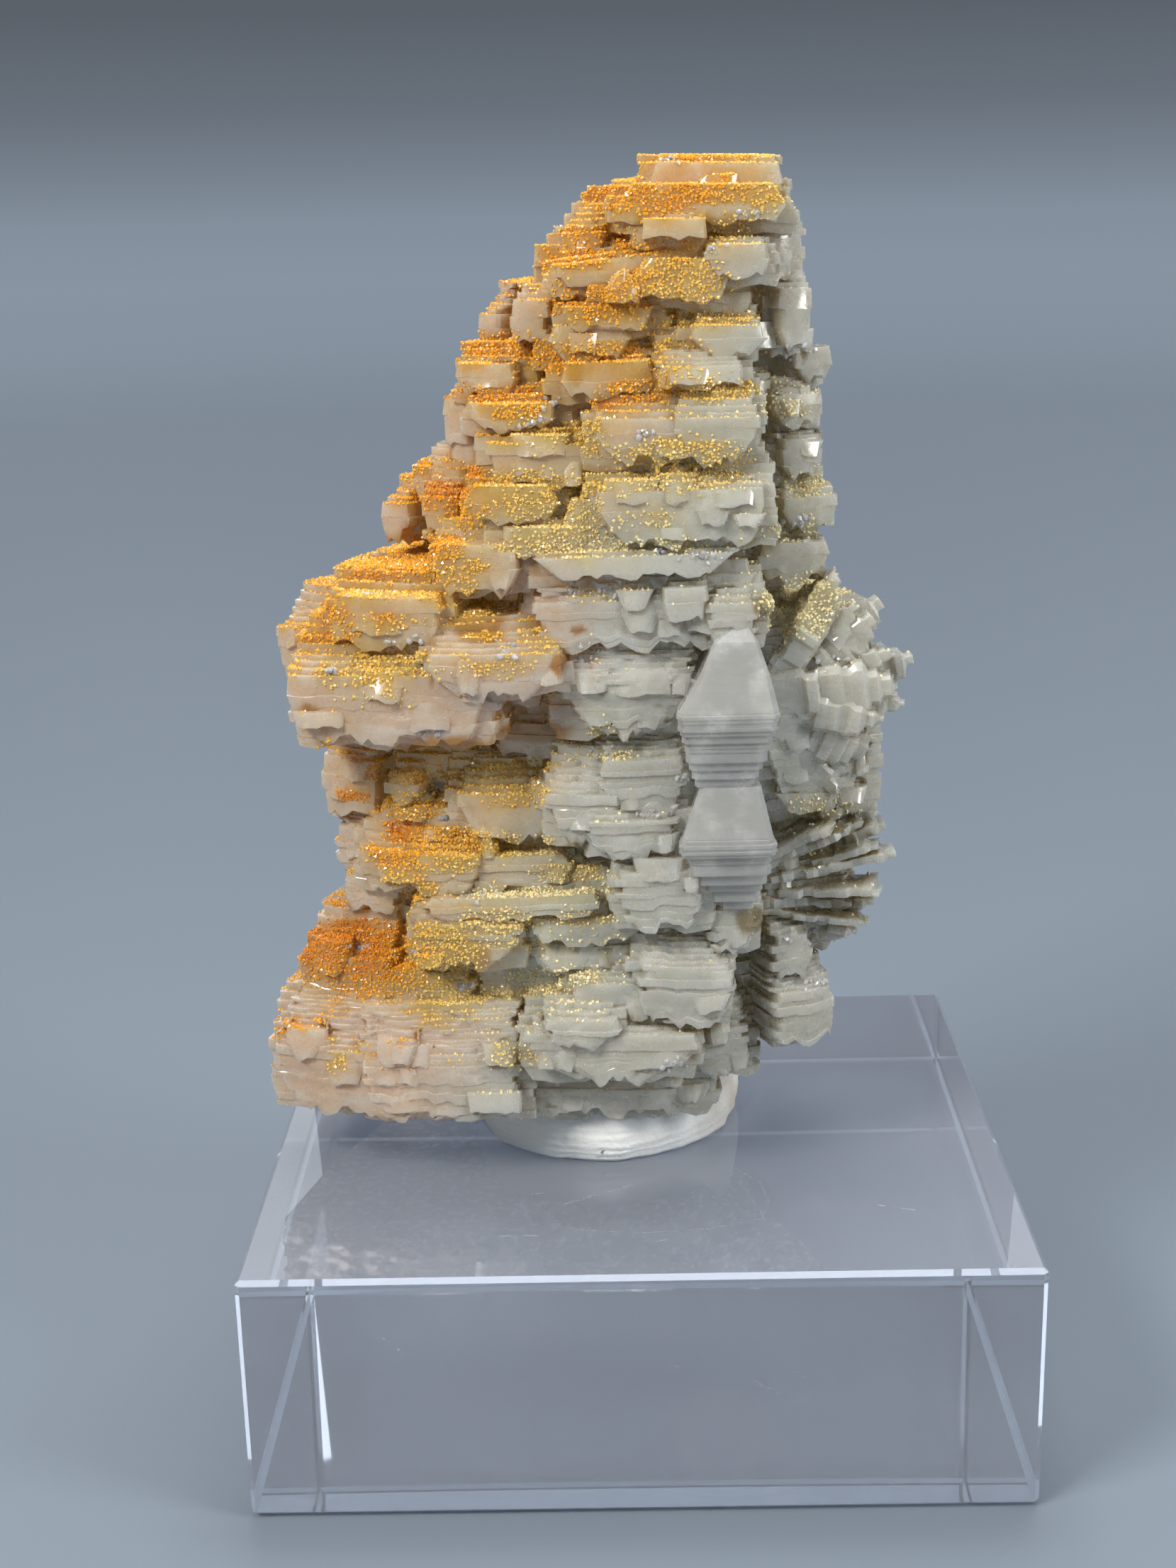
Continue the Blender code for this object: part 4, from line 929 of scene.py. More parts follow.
@dataclass(frozen=True)
class ClearFinish:
    """Clear, faintly milky calcite with wisps and level growth lines."""

    name: str = "clear_calcite"
    tint: Colour = (0.68, 0.69, 0.66)
    wisp: Colour = (0.94, 0.94, 0.91)
    ior: float = 1.6
    clearness: float = 0.6

    def material(self, groups: Groups) -> bpy.types.Material:
        """Build the material."""
        made, w, shader = new_material(self.name)
        place = w.add("ShaderNodeTexCoord").outputs["Object"]
        lines = group_node(w, groups.lines, Place=place, Fineness=0.6)
        wisps = w.spread(w.noise(place, 320.0, 4.0, 0.6), 0.45, 0.7)
        w.tree.links.new(w.mix(wisps, self.tint, self.wisp), shader.inputs["Base Color"])
        cloudy = w.math("MAXIMUM", wisps, w.math("MULTIPLY", lines.outputs["Pale"], 0.6))
        w.tree.links.new(w.spread(cloudy, 0.0, 1.0, 0.05, 0.3), shader.inputs["Roughness"])
        inputs = {"Height": lines.outputs["Height"], "Strength": 0.4, "Distance": 0.0001}
        w.tree.links.new(w.add("ShaderNodeBump", inputs).outputs[0], shader.inputs["Normal"])
        shader.inputs["IOR"].default_value = self.ior
        shader.inputs["Transmission Weight"].default_value = self.clearness
        shader.inputs["Subsurface Weight"].default_value = 0.6
        shader.inputs["Subsurface Radius"].default_value = (1.0, 0.9, 0.8)
        shader.inputs["Subsurface Scale"].default_value = 0.003
        return made


@dataclass(frozen=True)
class SugarFinish:
    """Tiny wulfenite crystals: orange-red, golden or cream by place, each a little unlike the next."""

    name: str = "wulfenite_sugar"
    cream: Colour = (0.76, 0.64, 0.38)
    golden: Colour = (0.68, 0.43, 0.10)
    orange: Colour = (0.78, 0.31, 0.012)
    deep: Colour = (0.62, 0.18, 0.008)
    roughness: float = 0.38
    ior: float = 1.6

    def material(self, groups: Groups) -> bpy.types.Material:
        """Build the material."""
        made, w, shader = new_material(self.name)
        tone = attribute(w, "tone")
        tint = attribute(w, "tint")
        loose = w.math("MULTIPLY_ADD", w.math("SUBTRACT", tint, 0.5), 0.2, tone)
        stops = ((0.05, self.cream), (0.45, self.golden), (0.75, self.orange), (1.0, self.deep))
        colour = w.ramp(loose, stops)
        light = w.spread(tint, 0.0, 1.0, 0.75, 1.2)
        grey = w.add("ShaderNodeCombineXYZ", {0: light, 1: light, 2: light}).outputs[0]
        w.tree.links.new(w.mix(1.0, colour, grey, "MULTIPLY"), shader.inputs["Base Color"])
        w.tree.links.new(w.spread(tint, 0.86, 0.94, self.roughness, 0.04), shader.inputs["Roughness"])
        shader.inputs["IOR"].default_value = self.ior
        shader.inputs["Subsurface Weight"].default_value = 0.3
        shader.inputs["Subsurface Radius"].default_value = (1.0, 0.5, 0.15)
        shader.inputs["Subsurface Scale"].default_value = 0.0006
        return made


@dataclass(frozen=True)
class PuttyFinish:
    """White putty with fine creases, dark specks and a beige rim."""

    name: str = "putty"
    white: Colour = (0.76, 0.78, 0.77)
    beige: Colour = (0.52, 0.48, 0.42)
    speck: Colour = (0.10, 0.11, 0.11)

    def material(self, groups: Groups) -> bpy.types.Material:
        """Build the material."""
        made, w, shader = new_material(self.name)
        place = w.add("ShaderNodeTexCoord").outputs["Object"]
        blotch = w.noise(place, 260.0, 4.0)
        across = w.add("ShaderNodeSeparateXYZ", {0: place}).outputs[0]
        rim = w.math("MULTIPLY", w.spread(across, 0.001, 0.009), blotch)
        tone = w.mix(w.spread(rim, 0.15, 0.6), self.white, self.beige)
        specks = w.add("ShaderNodeTexVoronoi", {"Vector": place, "Scale": 520.0}).outputs["Distance"]
        picked = w.math("MULTIPLY", w.spread(specks, 0.16, 0.10), w.spread(w.noise(place, 420.0), 0.55, 0.62))
        w.tree.links.new(w.mix(picked, tone, self.speck), shader.inputs["Base Color"])
        w.tree.links.new(w.spread(blotch, 0.3, 0.7, 0.7, 0.9), shader.inputs["Roughness"])
        inputs = {"Height": w.noise(place, 480.0, 5.0, 0.65), "Strength": 0.7, "Distance": 0.0004}
        w.tree.links.new(w.add("ShaderNodeBump", inputs).outputs[0], shader.inputs["Normal"])
        shader.inputs["Subsurface Weight"].default_value = 0.2
        shader.inputs["Subsurface Scale"].default_value = 0.001
        return made


# Scratches on the block's top, as paths of x and y in millimetres, each with its strength
TOP_SCRATCHES = (
    (((-6.6, -15.3), (-0.5, -11.8)), 1.0),
    (((-8.0, -13.0), (-7.0, -12.8)), 0.7),
    (((-10.2, -19.4), (-7.4, -19.4)), 1.0),
    (((-4.8, -18.6), (0.0, -19.3), (5.2, -18.8), (9.0, -17.4)), 0.6),
    (((1.2, -20.6), (2.0, -20.3)), 0.7),
    (((7.7, -9.6), (9.3, -11.5), (9.8, -14.5), (9.2, -17.0)), 0.6),
    (((8.0, -12.0), (9.1, -16.8)), 0.5),
    (((17.5, -15.5), (20.5, -16.5)), 0.5),
    (((15.5, -8.2), (19.5, -9.6)), 0.4),
    (((-27.0, -16.5), (-20.0, -19.8)), 0.3),
    (((-24.5, -15.2), (-22.6, -17.2)), 0.4),
)
# The same on the block's front, as paths of x and z
FRONT_SCRATCHES = (
    (((-18.5, 14.7), (-16.8, 13.2)), 0.5),
    (((8.0, 10.5), (9.6, 9.6), (9.5, 8.6)), 0.6),
    (((10.8, 11.2), (11.4, 10.9)), 0.6),
    (((2.0, 12.0), (2.6, 11.8)), 0.6),
    (((-7.5, 15.8), (-6.0, 15.2)), 0.4),
)


@dataclass(frozen=True)
class AcrylicFinish:
    """Clear cast acrylic, faintly hazy, with scuffs and scratches that dull its polish."""

    name: str = "clear_acrylic"
    tint: Colour = (0.74, 0.79, 0.89)
    worn: Colour = (0.95, 0.97, 1.0)
    ior: float = 1.49
    clearness: float = 0.84
    scratch_width: float = 0.16

    def scratches(self, w: Wiring, groups: Groups, place: bpy.types.NodeSocket) -> bpy.types.NodeSocket:
        """Every scratch on the block's top and front as one mask."""
        low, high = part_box("acrylic_block")
        mask = None
        paths = [([(x * MM, y * MM, high[2]) for x, y in path], depth) for path, depth in TOP_SCRATCHES]
        paths += [([(x * MM, low[1], z * MM) for x, z in path], depth) for path, depth in FRONT_SCRATCHES]
        for path, depth in paths:
            for start, end in zip(path, path[1:]):
                inputs = {"Place": place, "Start": start, "End": end, "Depth": depth}
                line = group_node(w, groups.scratch, Width=self.scratch_width * MM, **inputs).outputs["Mask"]
                mask = line if mask is None else w.math("MAXIMUM", mask, line)
        return w.math("MULTIPLY", mask, w.spread(w.noise(place, 900.0, 2.0, 0.7), 0.36, 0.56, 0.25, 1.0))

    def material(self, groups: Groups) -> bpy.types.Material:
        """Build the material."""
        made, w, shader = new_material(self.name)
        place = w.add("ShaderNodeTexCoord").outputs["Object"]
        scuff = w.spread(w.noise(place, 110.0, 3.0, 0.7), 0.55, 0.75)
        lines = self.scratches(w, groups, place)
        dull = w.math("MAXIMUM", w.math("MULTIPLY", scuff, 0.25), lines)
        w.tree.links.new(w.spread(dull, 0.0, 1.0, 0.012, 0.6), shader.inputs["Roughness"])
        w.tree.links.new(w.mix(dull, self.tint, self.worn), shader.inputs["Base Color"])
        shader.inputs["IOR"].default_value = self.ior
        shader.inputs["Transmission Weight"].default_value = self.clearness
        return made


# Meshes and modifiers

def object_from(
    mesh: bpy.types.Mesh, name: str, finish: Optional[bpy.types.Material] = None,
) -> bpy.types.Object:
    """Link a mesh as an object at the origin."""
    obj = bpy.data.objects.new(name, mesh)
    bpy.context.scene.collection.objects.link(obj)
    if finish:
        mesh.materials.clear()
        mesh.materials.append(finish)
    return obj


def settle(obj: bpy.types.Object) -> None:
    """Replace an object's mesh with its modified one, and drop its modifiers."""
    evaluated = obj.evaluated_get(bpy.context.evaluated_depsgraph_get())
    mesh = bpy.data.meshes.new_from_object(evaluated)
    obj.modifiers.clear()
    obj.data = mesh


def unite(obj: bpy.types.Object, others: bpy.types.Collection) -> None:
    """Join a collection of closed solids to an object."""
    modifier = obj.modifiers.new("grown_together", "BOOLEAN")
    modifier.operation = "UNION"
    modifier.solver = "MANIFOLD"
    modifier.operand_type = "COLLECTION"
    modifier.collection = others
    settle(obj)


def keep_largest(mesh: bpy.types.Mesh) -> None:
    """Keep the largest connected part of a mesh, without sealed voids or loose chips."""
    count = len(mesh.vertices)
    edges = np.empty(len(mesh.edges) * 2, np.int64)
    mesh.edges.foreach_get("vertices", edges)
    edges = edges.reshape(-1, 2)
    label = np.arange(count)
    while True:
        low = np.minimum(label[edges[:, 0]], label[edges[:, 1]])
        before = label.copy()
        np.minimum.at(label, edges[:, 0], low)
        np.minimum.at(label, edges[:, 1], low)
        label = label[label]
        if np.array_equal(before, label):
            break
    largest = np.bincount(label).argmax()
    bm = bmesh.new()
    bm.from_mesh(mesh)
    bm.verts.ensure_lookup_table()
    loose = [bm.verts[int(k)] for k in np.nonzero(label != largest)[0]]
    bmesh.ops.delete(bm, geom=loose, context="VERTS")
    bmesh.ops.triangulate(bm, faces=bm.faces)
    bm.to_mesh(mesh)
    bm.free()


# The calcite

def warmth_at(x: np.ndarray, z: np.ndarray) -> np.ndarray:
    """How warm the specimen's colour is at a place in millimetres, from 0 at the pale side to 1."""
    rise = z - WARM_MIDDLE
    golden = WARM_EDGE + WARM_SLOPE * rise + WARM_BEND * rise * rise
    return np.clip(0.5 + (golden - x) / WARM_WIDTH, 0.0, 1.0)


def patches(points: np.ndarray, length: float, rng: random.Random) -> np.ndarray:
    """A loose pattern of patches of about the given size, from 0 to 1, at rows of points in millimetres."""
    value = np.zeros(len(points))
    for _ in range(9):
        way = Vector((rng.gauss(0, 1), rng.gauss(0, 1), rng.gauss(0, 1.3)))
        value += np.sin(points @ np.array(way) / length * 2.2 + rng.uniform(0, 2 * math.pi))
    return 0.5 + value / 9


class Blade(Enum):
    """The crystals of a spray: thickness from and to, depth from and to, and the length of the point."""

    POINTED = (2.2, 3.8, 2.6, 4.6, 2.6)
    PLATE = (0.6, 1.1, 2.6, 4.6, 1.2)


@dataclass
class CalciteCluster:
    """The calcite: every lobe, shingle and blade, grown together as one solid, with the clear crystals as a
    piece of their own.
    """

    finish: CalciteFinish = field(default_factory=CalciteFinish)
    growth: Growth = field(default_factory=Growth)
    tile_growth: Growth = field(
        default_factory=lambda: Growth((0.8, 1.6), (0.3, 0.6), 0.12, 0.02, 0.15, 0.35, 0.05, lean_back=0.6)
    )
    backing_growth: Growth = field(
        default_factory=lambda: Growth((0.5, 1.1), (0.4, 0.8), 0.35, 0.12, 0.3, 0.3, fine=1.2)
    )
    combed_growth: Growth = field(
        default_factory=lambda: Growth((0.32, 0.8), (0.24, 0.45), 0.36, 0.09, 0.45, 0.5, 0.08, fine=0.6)
    )
    combed_below: float = 42.0
    combed_right: float = -4.0
    combed_right_below: float = 62.0
    back_growth: Growth = field(
        default_factory=lambda: Growth((0.8, 1.6), (0.5, 0.9), 0.35, 0.06, 0.4, 0.5, fine=1.1)
    )
    tile_rows: float = 2.0
    tile_odds: float = 0.6
    backing_lap: float = 2.2
    filler_low: float = 27.0
    filler_high: float = 89.0
    filler_turn: float = 28.0
    filler_rows: float = 3.6
    filler_pitch: float = 4.6
    spray_step: float = 0.9
    glow_reach: float = 2.0
    recess_reach: float = 5.0
    sharp_angle: float = 24.0
    slope_rounds: int = 5
    front_reach: float = 5.0

    def shingles(self, lobe: Lobe) -> list[Lobe]:
        """Thin plates that overlap like tiles on a lobe's face, each proud at its lower edge."""
        rng = random.Random(f"shingles_{lobe.name}")
        tall = lobe.high - lobe.low
        if lobe.width < 3.5 or tall < 2.4:
            return []
        face_tall = (BROW_SHARE + 0.1) * tall
        rows = max(1, round(face_tall / self.tile_rows))
        turn = math.radians(lobe.turn)
        plates = []
        for row in range(rows):
            across = -lobe.width / 2 + rng.uniform(0.2, 1.6)
            while across < lobe.width / 2 - 1.3:
                width = rng.uniform(1.8, 5.6)
                low = lobe.low + face_tall * (row + rng.uniform(0.1, 0.6)) / rows
                high = low + rng.uniform(1.3, 2.6)
                end = min(across + width, lobe.width / 2 + 0.1)
                share = (low - lobe.low) / tall
                if rng.random() < self.tile_odds and high < lobe.low + (BROW_SHARE + 0.25) * tall:
                    deep = rng.uniform(2.6, 3.4)
                    out = lobe.depth / 2 - self.growth.lean_back * share + rng.uniform(0.15, 0.6) - deep / 2
                    middle = (across + end) / 2
                    x = lobe.x + middle * math.cos(turn) + out * math.sin(turn)
                    y = lobe.y + middle * math.sin(turn) - out * math.cos(turn)
                    keel = rng.uniform(0.55, 0.92)
                    angle = lobe.turn + rng.uniform(-4, 4)
                    name = f"{lobe.name}_tile_{len(plates)}"
                    wide = end - across
                    plates.append(Lobe(name, x, y, low, high, wide, deep, angle, keel, 0.9, lobe.lean))
                across += width * rng.uniform(0.75, 1.1)
        return plates

    def backing(self, lobe: Lobe) -> Lobe:
        """A wider pile of plain layers just behind a lobe, which closes the gaps round it."""
        rng = random.Random(f"backing_{lobe.name}")
        turn = math.radians(lobe.turn)
        behind = rng.uniform(0.9, 1.5)
        x = lobe.x - behind * math.sin(turn) + rng.uniform(-0.5, 0.5)
        y = lobe.y + behind * math.cos(turn)
        low = lobe.low - rng.uniform(0.3, 0.9)
        high = lobe.high + rng.uniform(-0.1, 0.4)
        wider = self.backing_lap if abs(lobe.turn) < 16 else 0.0
        width = lobe.width + wider * rng.uniform(0.5, 1.0)
        name = f"behind_{lobe.name}"
        return Lobe(name, x, y, low, min(high, TOP), width, lobe.depth, lobe.turn, 0.92, 0.85, lobe.lean)

    def fillers(self) -> list[Lobe]:
        """Rows of small lobes that stand behind the front ones and fill the gaps between them."""
        rng = random.Random("fillers")
        lobes = []
        height = self.filler_low
        while height < self.filler_high:
            left, right, near = (between(height, column) for column in (1, 2, 3))
            x = left + rng.uniform(0.5, 2.0)
            while x < right - 0.5:
                turn = self.filler_turn * (2 * (x - left) / (right - left) - 1)
                tall = rng.uniform(2.2, 3.8)
                width = rng.uniform(3.6, 6.6)
                face = near - rng.uniform(0.6, 3.4) + 2.0 * (abs(turn) / self.filler_turn) ** 2
                name = f"filler_{len(lobes)}"
                ends = (x - width / 2, x + width / 2, height - tall / 2, height + tall / 2)
                keel, crest = rng.uniform(0.6, 0.9), rng.uniform(0.6, 0.9)
                lobes.append(front(name, *ends, face, 8.0, turn, keel, crest))
                x += self.filler_pitch * rng.uniform(0.8, 1.25)
            height += self.filler_rows * rng.uniform(0.85, 1.15)
        return lobes

    def body(self) -> bpy.types.Mesh:
        """The inner body, laminated like the lobes that grow from it."""
        rng = random.Random("body")
        angles = np.linspace(0, 2 * math.pi, 72, endpoint=False)
        outward = np.column_stack((np.cos(angles), np.sin(angles)))
        rings = []
        height = BODY_SECTIONS[0][0]
        while height < BODY_SECTIONS[-1][0]:
            thick = rng.uniform(0.5, 1.1)
            left, right, near, far = (between(height, column) for column in (1, 2, 3, 4))
            half = np.array(((right - left) / 2, (far - near) / 2)) * 0.98
            middle = np.array(((left + right) / 2, (near + far) / 2))
            reach = 1 + 0.05 * edge_wave(angles * 8, rng, (9.0, 4.2, 2.1)) - 0.03 * (rng.random() < 0.3)
            edge = outward * half * reach[:, None] + middle
            for level in (height + SEAM, height + thick - SEAM):
                rings.append(np.column_stack((edge, np.full(len(edge), level))))
            height += thick
        return ring_mesh("body", rings, Matrix.Identity(4))

    def clear_crystal(self, name: str) -> bpy.types.Mesh:
        """A clear crystal: one broad smooth front with a band of thin layers round its girdle."""
        rng = random.Random(name)
        plan = np.array(CLEAR_PLAN)
        sections = CLEAR_CRYSTALS[name]
        heights = [row[0] for row in sections]
        widest = max(right - left for _, left, right in sections)
        band_low, band_high = CLEAR_BANDS[name]
        levels = [(h, 0.0, h) for h in heights if h >= band_high]
        height = heights[0]
        while height < band_low:
            thick = min(rng.uniform(0.5, 0.95), band_low - height)
            held = height + 0.8 * thick
            levels += [(height + SEAM, 0.0, held), (height + thick - SEAM, 0.0, held)]
            height += thick
        while height < band_high:
            thick = rng.uniform(0.16, 0.36)
            inset = rng.choice((0.0, 0.0, 0.06, 0.12, 0.24))
            top = min(height + thick, band_high)
            levels += [(height + SEAM, inset, height), (top - SEAM, inset, height)]
            height += thick
        rings = []
        for height, inset, held in sorted(levels):
            left, right = (
                float(np.interp(held, heights, [row[column] for row in sections])) for column in (1, 2)
            )
            deep = CLEAR_DEPTH / 2 * (1 - CLEAR_LEAN * (1 - (right - left) / widest) - inset / 9)
            edge = plan * ((right - left) / 2 - inset, deep)
            edge[:, 1] = np.where(plan[:, 1] > 0, CLEAR_DEPTH / 2, edge[:, 1])
            edge = edge + ((left + right) / 2, CLEAR_FACE_Y + CLEAR_DEPTH / 2)
            rings.append(np.column_stack((edge, np.full(len(edge), height))))
        return ring_mesh(name, rings, Matrix.Identity(4))

    def blade(
        self, name: str, root: Sequence[float], length: float, rise: float, turn: float, kind: Blade,
    ) -> bpy.types.Mesh:
        """A crystal of a spray: thick and pointed, or a thin plate with a toothed edge."""
        rng = random.Random(name)
        low_thin, high_thin, low_deep, high_deep, point = kind.value
        thin = rng.uniform(low_thin, high_thin)
        deep = rng.uniform(low_deep, high_deep)
        plan = np.array(BLADE_PLAN)
        rings = []
        level = 0.0
        slide = np.array((0.0, 0.0))
        tip = np.array((rng.uniform(-0.8, 0.8), rng.uniform(-0.9, 0.3)))
        while level < length:
            taper = 1.0 if level < length - point else max(0.06, (length - level) / point)
            wide = thin * taper * rng.uniform(0.88, 1.1)
            size = np.array((wide, deep * (0.3 + 0.7 * taper) * rng.uniform(0.86, 1.08)))
            slide = slide * 0.5 + np.array((rng.uniform(-0.1, 0.1), rng.uniform(-0.2, 0.2)))
            edge = plan * size / 2 + slide + tip * (1 - taper) * (thin / 2, deep / 2)
            for height in (level, level + rng.uniform(0.5, 0.8) * self.spray_step):
                rings.append(np.column_stack((edge, np.full(len(edge), min(height, length)))))
            level += self.spray_step
        aim = Euler((rng.uniform(-0.12, 0.12), math.radians(90 - rise), math.radians(turn)))
        return ring_mesh(name, rings, Matrix.Translation(Vector(root)) @ aim.to_matrix().to_4x4())

    def spray(
        self, name: str, root: Sequence[float], count: int, rises: tuple[float, float], reach: float,
        kind: Blade, stack: float = 0.0,
    ) -> Iterable[bpy.types.Mesh]:
        """Crystals fanned from one root, or stacked along a height, in rows from front to back."""
        rng = random.Random(name)
        for k in range(count):
            share = (k + rng.uniform(0.2, 0.8)) / count
            rise = rises[0] + (rises[1] - rises[0]) * share
            length = reach * (0.84 + 0.16 * math.sin(math.pi * min(1, share + 0.15))) * rng.uniform(0.78, 1.0)
            start = (
                root[0] + rng.uniform(-1, 1), root[1] + SPRAY_ROWS[k % len(SPRAY_ROWS)],
                root[2] + rng.uniform(-0.8, 0.8) + stack * (0.5 - share),
            )
            yield self.blade(f"{name}_{k}", start, length, rise, rng.uniform(-16, 12), kind)

    def crystals(self) -> Iterable[bpy.types.Mesh]:
        """Every crystal of the cluster, as closed meshes."""
        for lobe in FRONT_LOBES:
            right = lobe.x > self.combed_right and lobe.low < self.combed_right_below
            combed = lobe.low < self.combed_below or right
            yield laminated(lobe, self.combed_growth if combed else self.growth)
            yield laminated(self.backing(lobe), self.backing_growth)
            for plate in self.shingles(lobe):
                yield laminated(plate, self.tile_growth)
        for lobe in self.fillers():
            yield laminated(lobe, self.backing_growth)
        for lobe in back_lobes():
            yield laminated(lobe, self.back_growth)
            for plate in self.shingles(lobe):
                yield laminated(plate, self.tile_growth)
        yield from self.spray("upper_spray", UPPER_SPRAY_ROOT, 34, (66, -48), 11.9, Blade.POINTED)
        yield from self.spray("lower_spray", LOWER_SPRAY_ROOT, 26, (34, -14), 10.2, Blade.PLATE, 5.0)

    def mark_recess_shade(self, mesh: bpy.types.Mesh) -> None:
        """Store at each vertex how enclosed it is, from 0 in the open to 1 in a deep gap, with the listed
        hollows on top, for painted shade and glow in the calcite's colour.
        """
        tree = BVHTree.FromPolygons([v.co for v in mesh.vertices], [p.vertices for p in mesh.polygons])
        reach = self.recess_reach * MM
        values = []
        for vert in mesh.vertices:
            out = vert.normal
            start = vert.co + out * 0.0002
            side = out.cross(Vector((0.3, 0.2, 1.0))).normalized()
            other = out.cross(side)
            shut = 0.0
            for aim in (out, out + side, out - side, out + other, out - other):
                hit = tree.ray_cast(start, aim.normalized(), reach)[3]
                shut += 0.0 if hit is None else 1.0 - 0.5 * hit / reach
            values.append(shut / 5)
        points = np.array([v.co for v in mesh.vertices]) / MM
        x, z = front_view(points)
        glow = np.zeros(len(points))
        # The listed hollows add a painted brown or amber glow to the painted shade.
        for middle_x, middle_z, half_width, half_height in HOLLOW_SHADE_AND_GLOW:
            distance = np.hypot((x - middle_x) / half_width, (z - middle_z) / half_height)
            near = 1 - smooth(distance, 0.5, 1.4)
            glow = np.maximum(glow, 0.9 * near * (points[:, 1] < self.front_reach))
        shut = np.maximum(np.array(values), glow).astype(np.float32)
        mesh.attributes.new("recess", "FLOAT", "POINT").data.foreach_set("value", shut)

    def mark_sugar(self, mesh: bpy.types.Mesh) -> None:
        """Store how thickly sugar lies on each face, and its tone and a softened share at each vertex; the
        softened share also holds a painted glow round each drift.
        """
        count = len(mesh.polygons)
        centre = np.empty(count * 3, np.float32)
        normal = np.empty(count * 3, np.float32)
        area = np.empty(count, np.float32)
        corners = np.empty(count * 3, np.int64)
        mesh.polygons.foreach_get("center", centre)
        mesh.polygons.foreach_get("normal", normal)
        mesh.polygons.foreach_get("area", area)
        mesh.polygons.foreach_get("vertices", corners)
        centre = centre.reshape(-1, 3) / MM
        corners = corners.reshape(-1, 3)
        normal = normal.reshape(-1, 3)
        slope = self.spread_out(normal * area[:, None], corners, len(mesh.vertices))
        slope = slope[:, 2] / np.maximum(np.linalg.norm(slope, axis=1), 1e-12)
        x, y, z = centre.T
        rng = random.Random("sugar")
        broad = patches(centre, 4.0, rng)
        fine = patches(centre, 1.1, rng)
        warmth = warmth_at(x, z)
        pale = smooth(x, -3.0, 2.0) * smooth(-z, -64.0, -58.0)
        flat = smooth(normal[:, 2], 0.2, 0.6) * smooth(slope, 0.0, 0.35)
        amount = (0.2 + 0.8 * smooth(warmth, 0.1, 0.6)) * (1 - 0.9 * pale) * (1 - 0.5 * smooth(y, 3.0, 9.0))
        strewn = amount * flat * smooth(broad + 0.5 * fine, 0.5, 0.95)
        seen_x, seen_z = front_view(centre)
        near = (1 - smooth(y, self.front_reach - 3.0, self.front_reach)) * smooth(normal[:, 2], -0.45, 0.1)
        lie = (0.7 + 0.3 * smooth(slope, -0.1, 0.4)) * near * smooth(fine + 0.5 * broad, 0.05, 0.4)
        sugar = 0.8 * strewn
        tones = 0.02 * warmth
        total = np.full(count, 0.02)
        glow = np.zeros(count)
        for drift in DRIFTS:
            weight = drift.weight(seen_x, seen_z)
            # A painted glow that spreads from each drift onto the bare calcite.
            halo = 0.3 * drift.weight(seen_x, seen_z, self.glow_reach)
            sugar = np.maximum(sugar, weight * lie)
            glow = 1 - (1 - glow) * (1 - halo)
            tones += (weight + 0.2 * halo) * drift.tone.value
            total += weight + 0.2 * halo
        sugar = np.clip(sugar, 0.0, 1.0).astype(np.float32)
        glow *= 0.46 * (1 - smooth(y, 0.0, 8.0))
        tones *= 0.62 + 0.38 * smooth(sugar, 0.05, 0.4)
        mesh.attributes.new("sugar", "FLOAT", "FACE").data.foreach_set("value", sugar)
        for name, values in (("dusting", np.maximum(sugar, glow)), ("tone", tones / total)):
            both = np.column_stack((values, np.ones(count)))
            weighted = self.to_vertices(both, corners, len(mesh.vertices))
            level = (weighted[:, 0] / np.maximum(weighted[:, 1], 1)).astype(np.float32)
            mesh.attributes.new(name, "FLOAT", "POINT").data.foreach_set("value", level)

    @staticmethod
    def mark_rim_highlights(mesh: bpy.types.Mesh) -> None:
        """Store at each vertex how sharply the surface turns outwards there, for painted highlights at the
        edges.
        """
        count = len(mesh.vertices)
        place = np.array([v.co for v in mesh.vertices])
        normal = np.array([v.normal for v in mesh.vertices])
        edges = np.empty(len(mesh.edges) * 2, np.int64)
        mesh.edges.foreach_get("vertices", edges)
        first, second = edges.reshape(-1, 2).T
        way = place[second] - place[first]
        way /= np.maximum(np.linalg.norm(way, axis=1), 1e-9)[:, None]
        bend = np.zeros(count)
        shared = np.zeros(count)
        np.add.at(bend, first, -(normal[first] * way).sum(axis=1))
        np.add.at(bend, second, (normal[second] * way).sum(axis=1))
        np.add.at(shared, first, 1)
        np.add.at(shared, second, 1)
        rim = smooth(bend / np.maximum(shared, 1), 0.05, 0.4).astype(np.float32)
        mesh.attributes.new("rim", "FLOAT", "POINT").data.foreach_set("value", rim)

    @staticmethod
    def to_vertices(values: np.ndarray, corners: np.ndarray, count: int) -> np.ndarray:
        """Add up the values of the faces round each vertex."""
        total = np.zeros((count, values.shape[1]))
        np.add.at(total, corners.ravel(), np.repeat(values, 3, axis=0))
        return total

    def spread_out(self, values: np.ndarray, corners: np.ndarray, count: int) -> np.ndarray:
        """Smooth values over the faces by passing them to the vertices and back a few times."""
        for _ in range(self.slope_rounds):
            shared = self.to_vertices(values, corners, count)
            values = shared[corners].mean(axis=1)
            values = values / np.maximum(np.abs(values).max(), 1e-12)
        return values

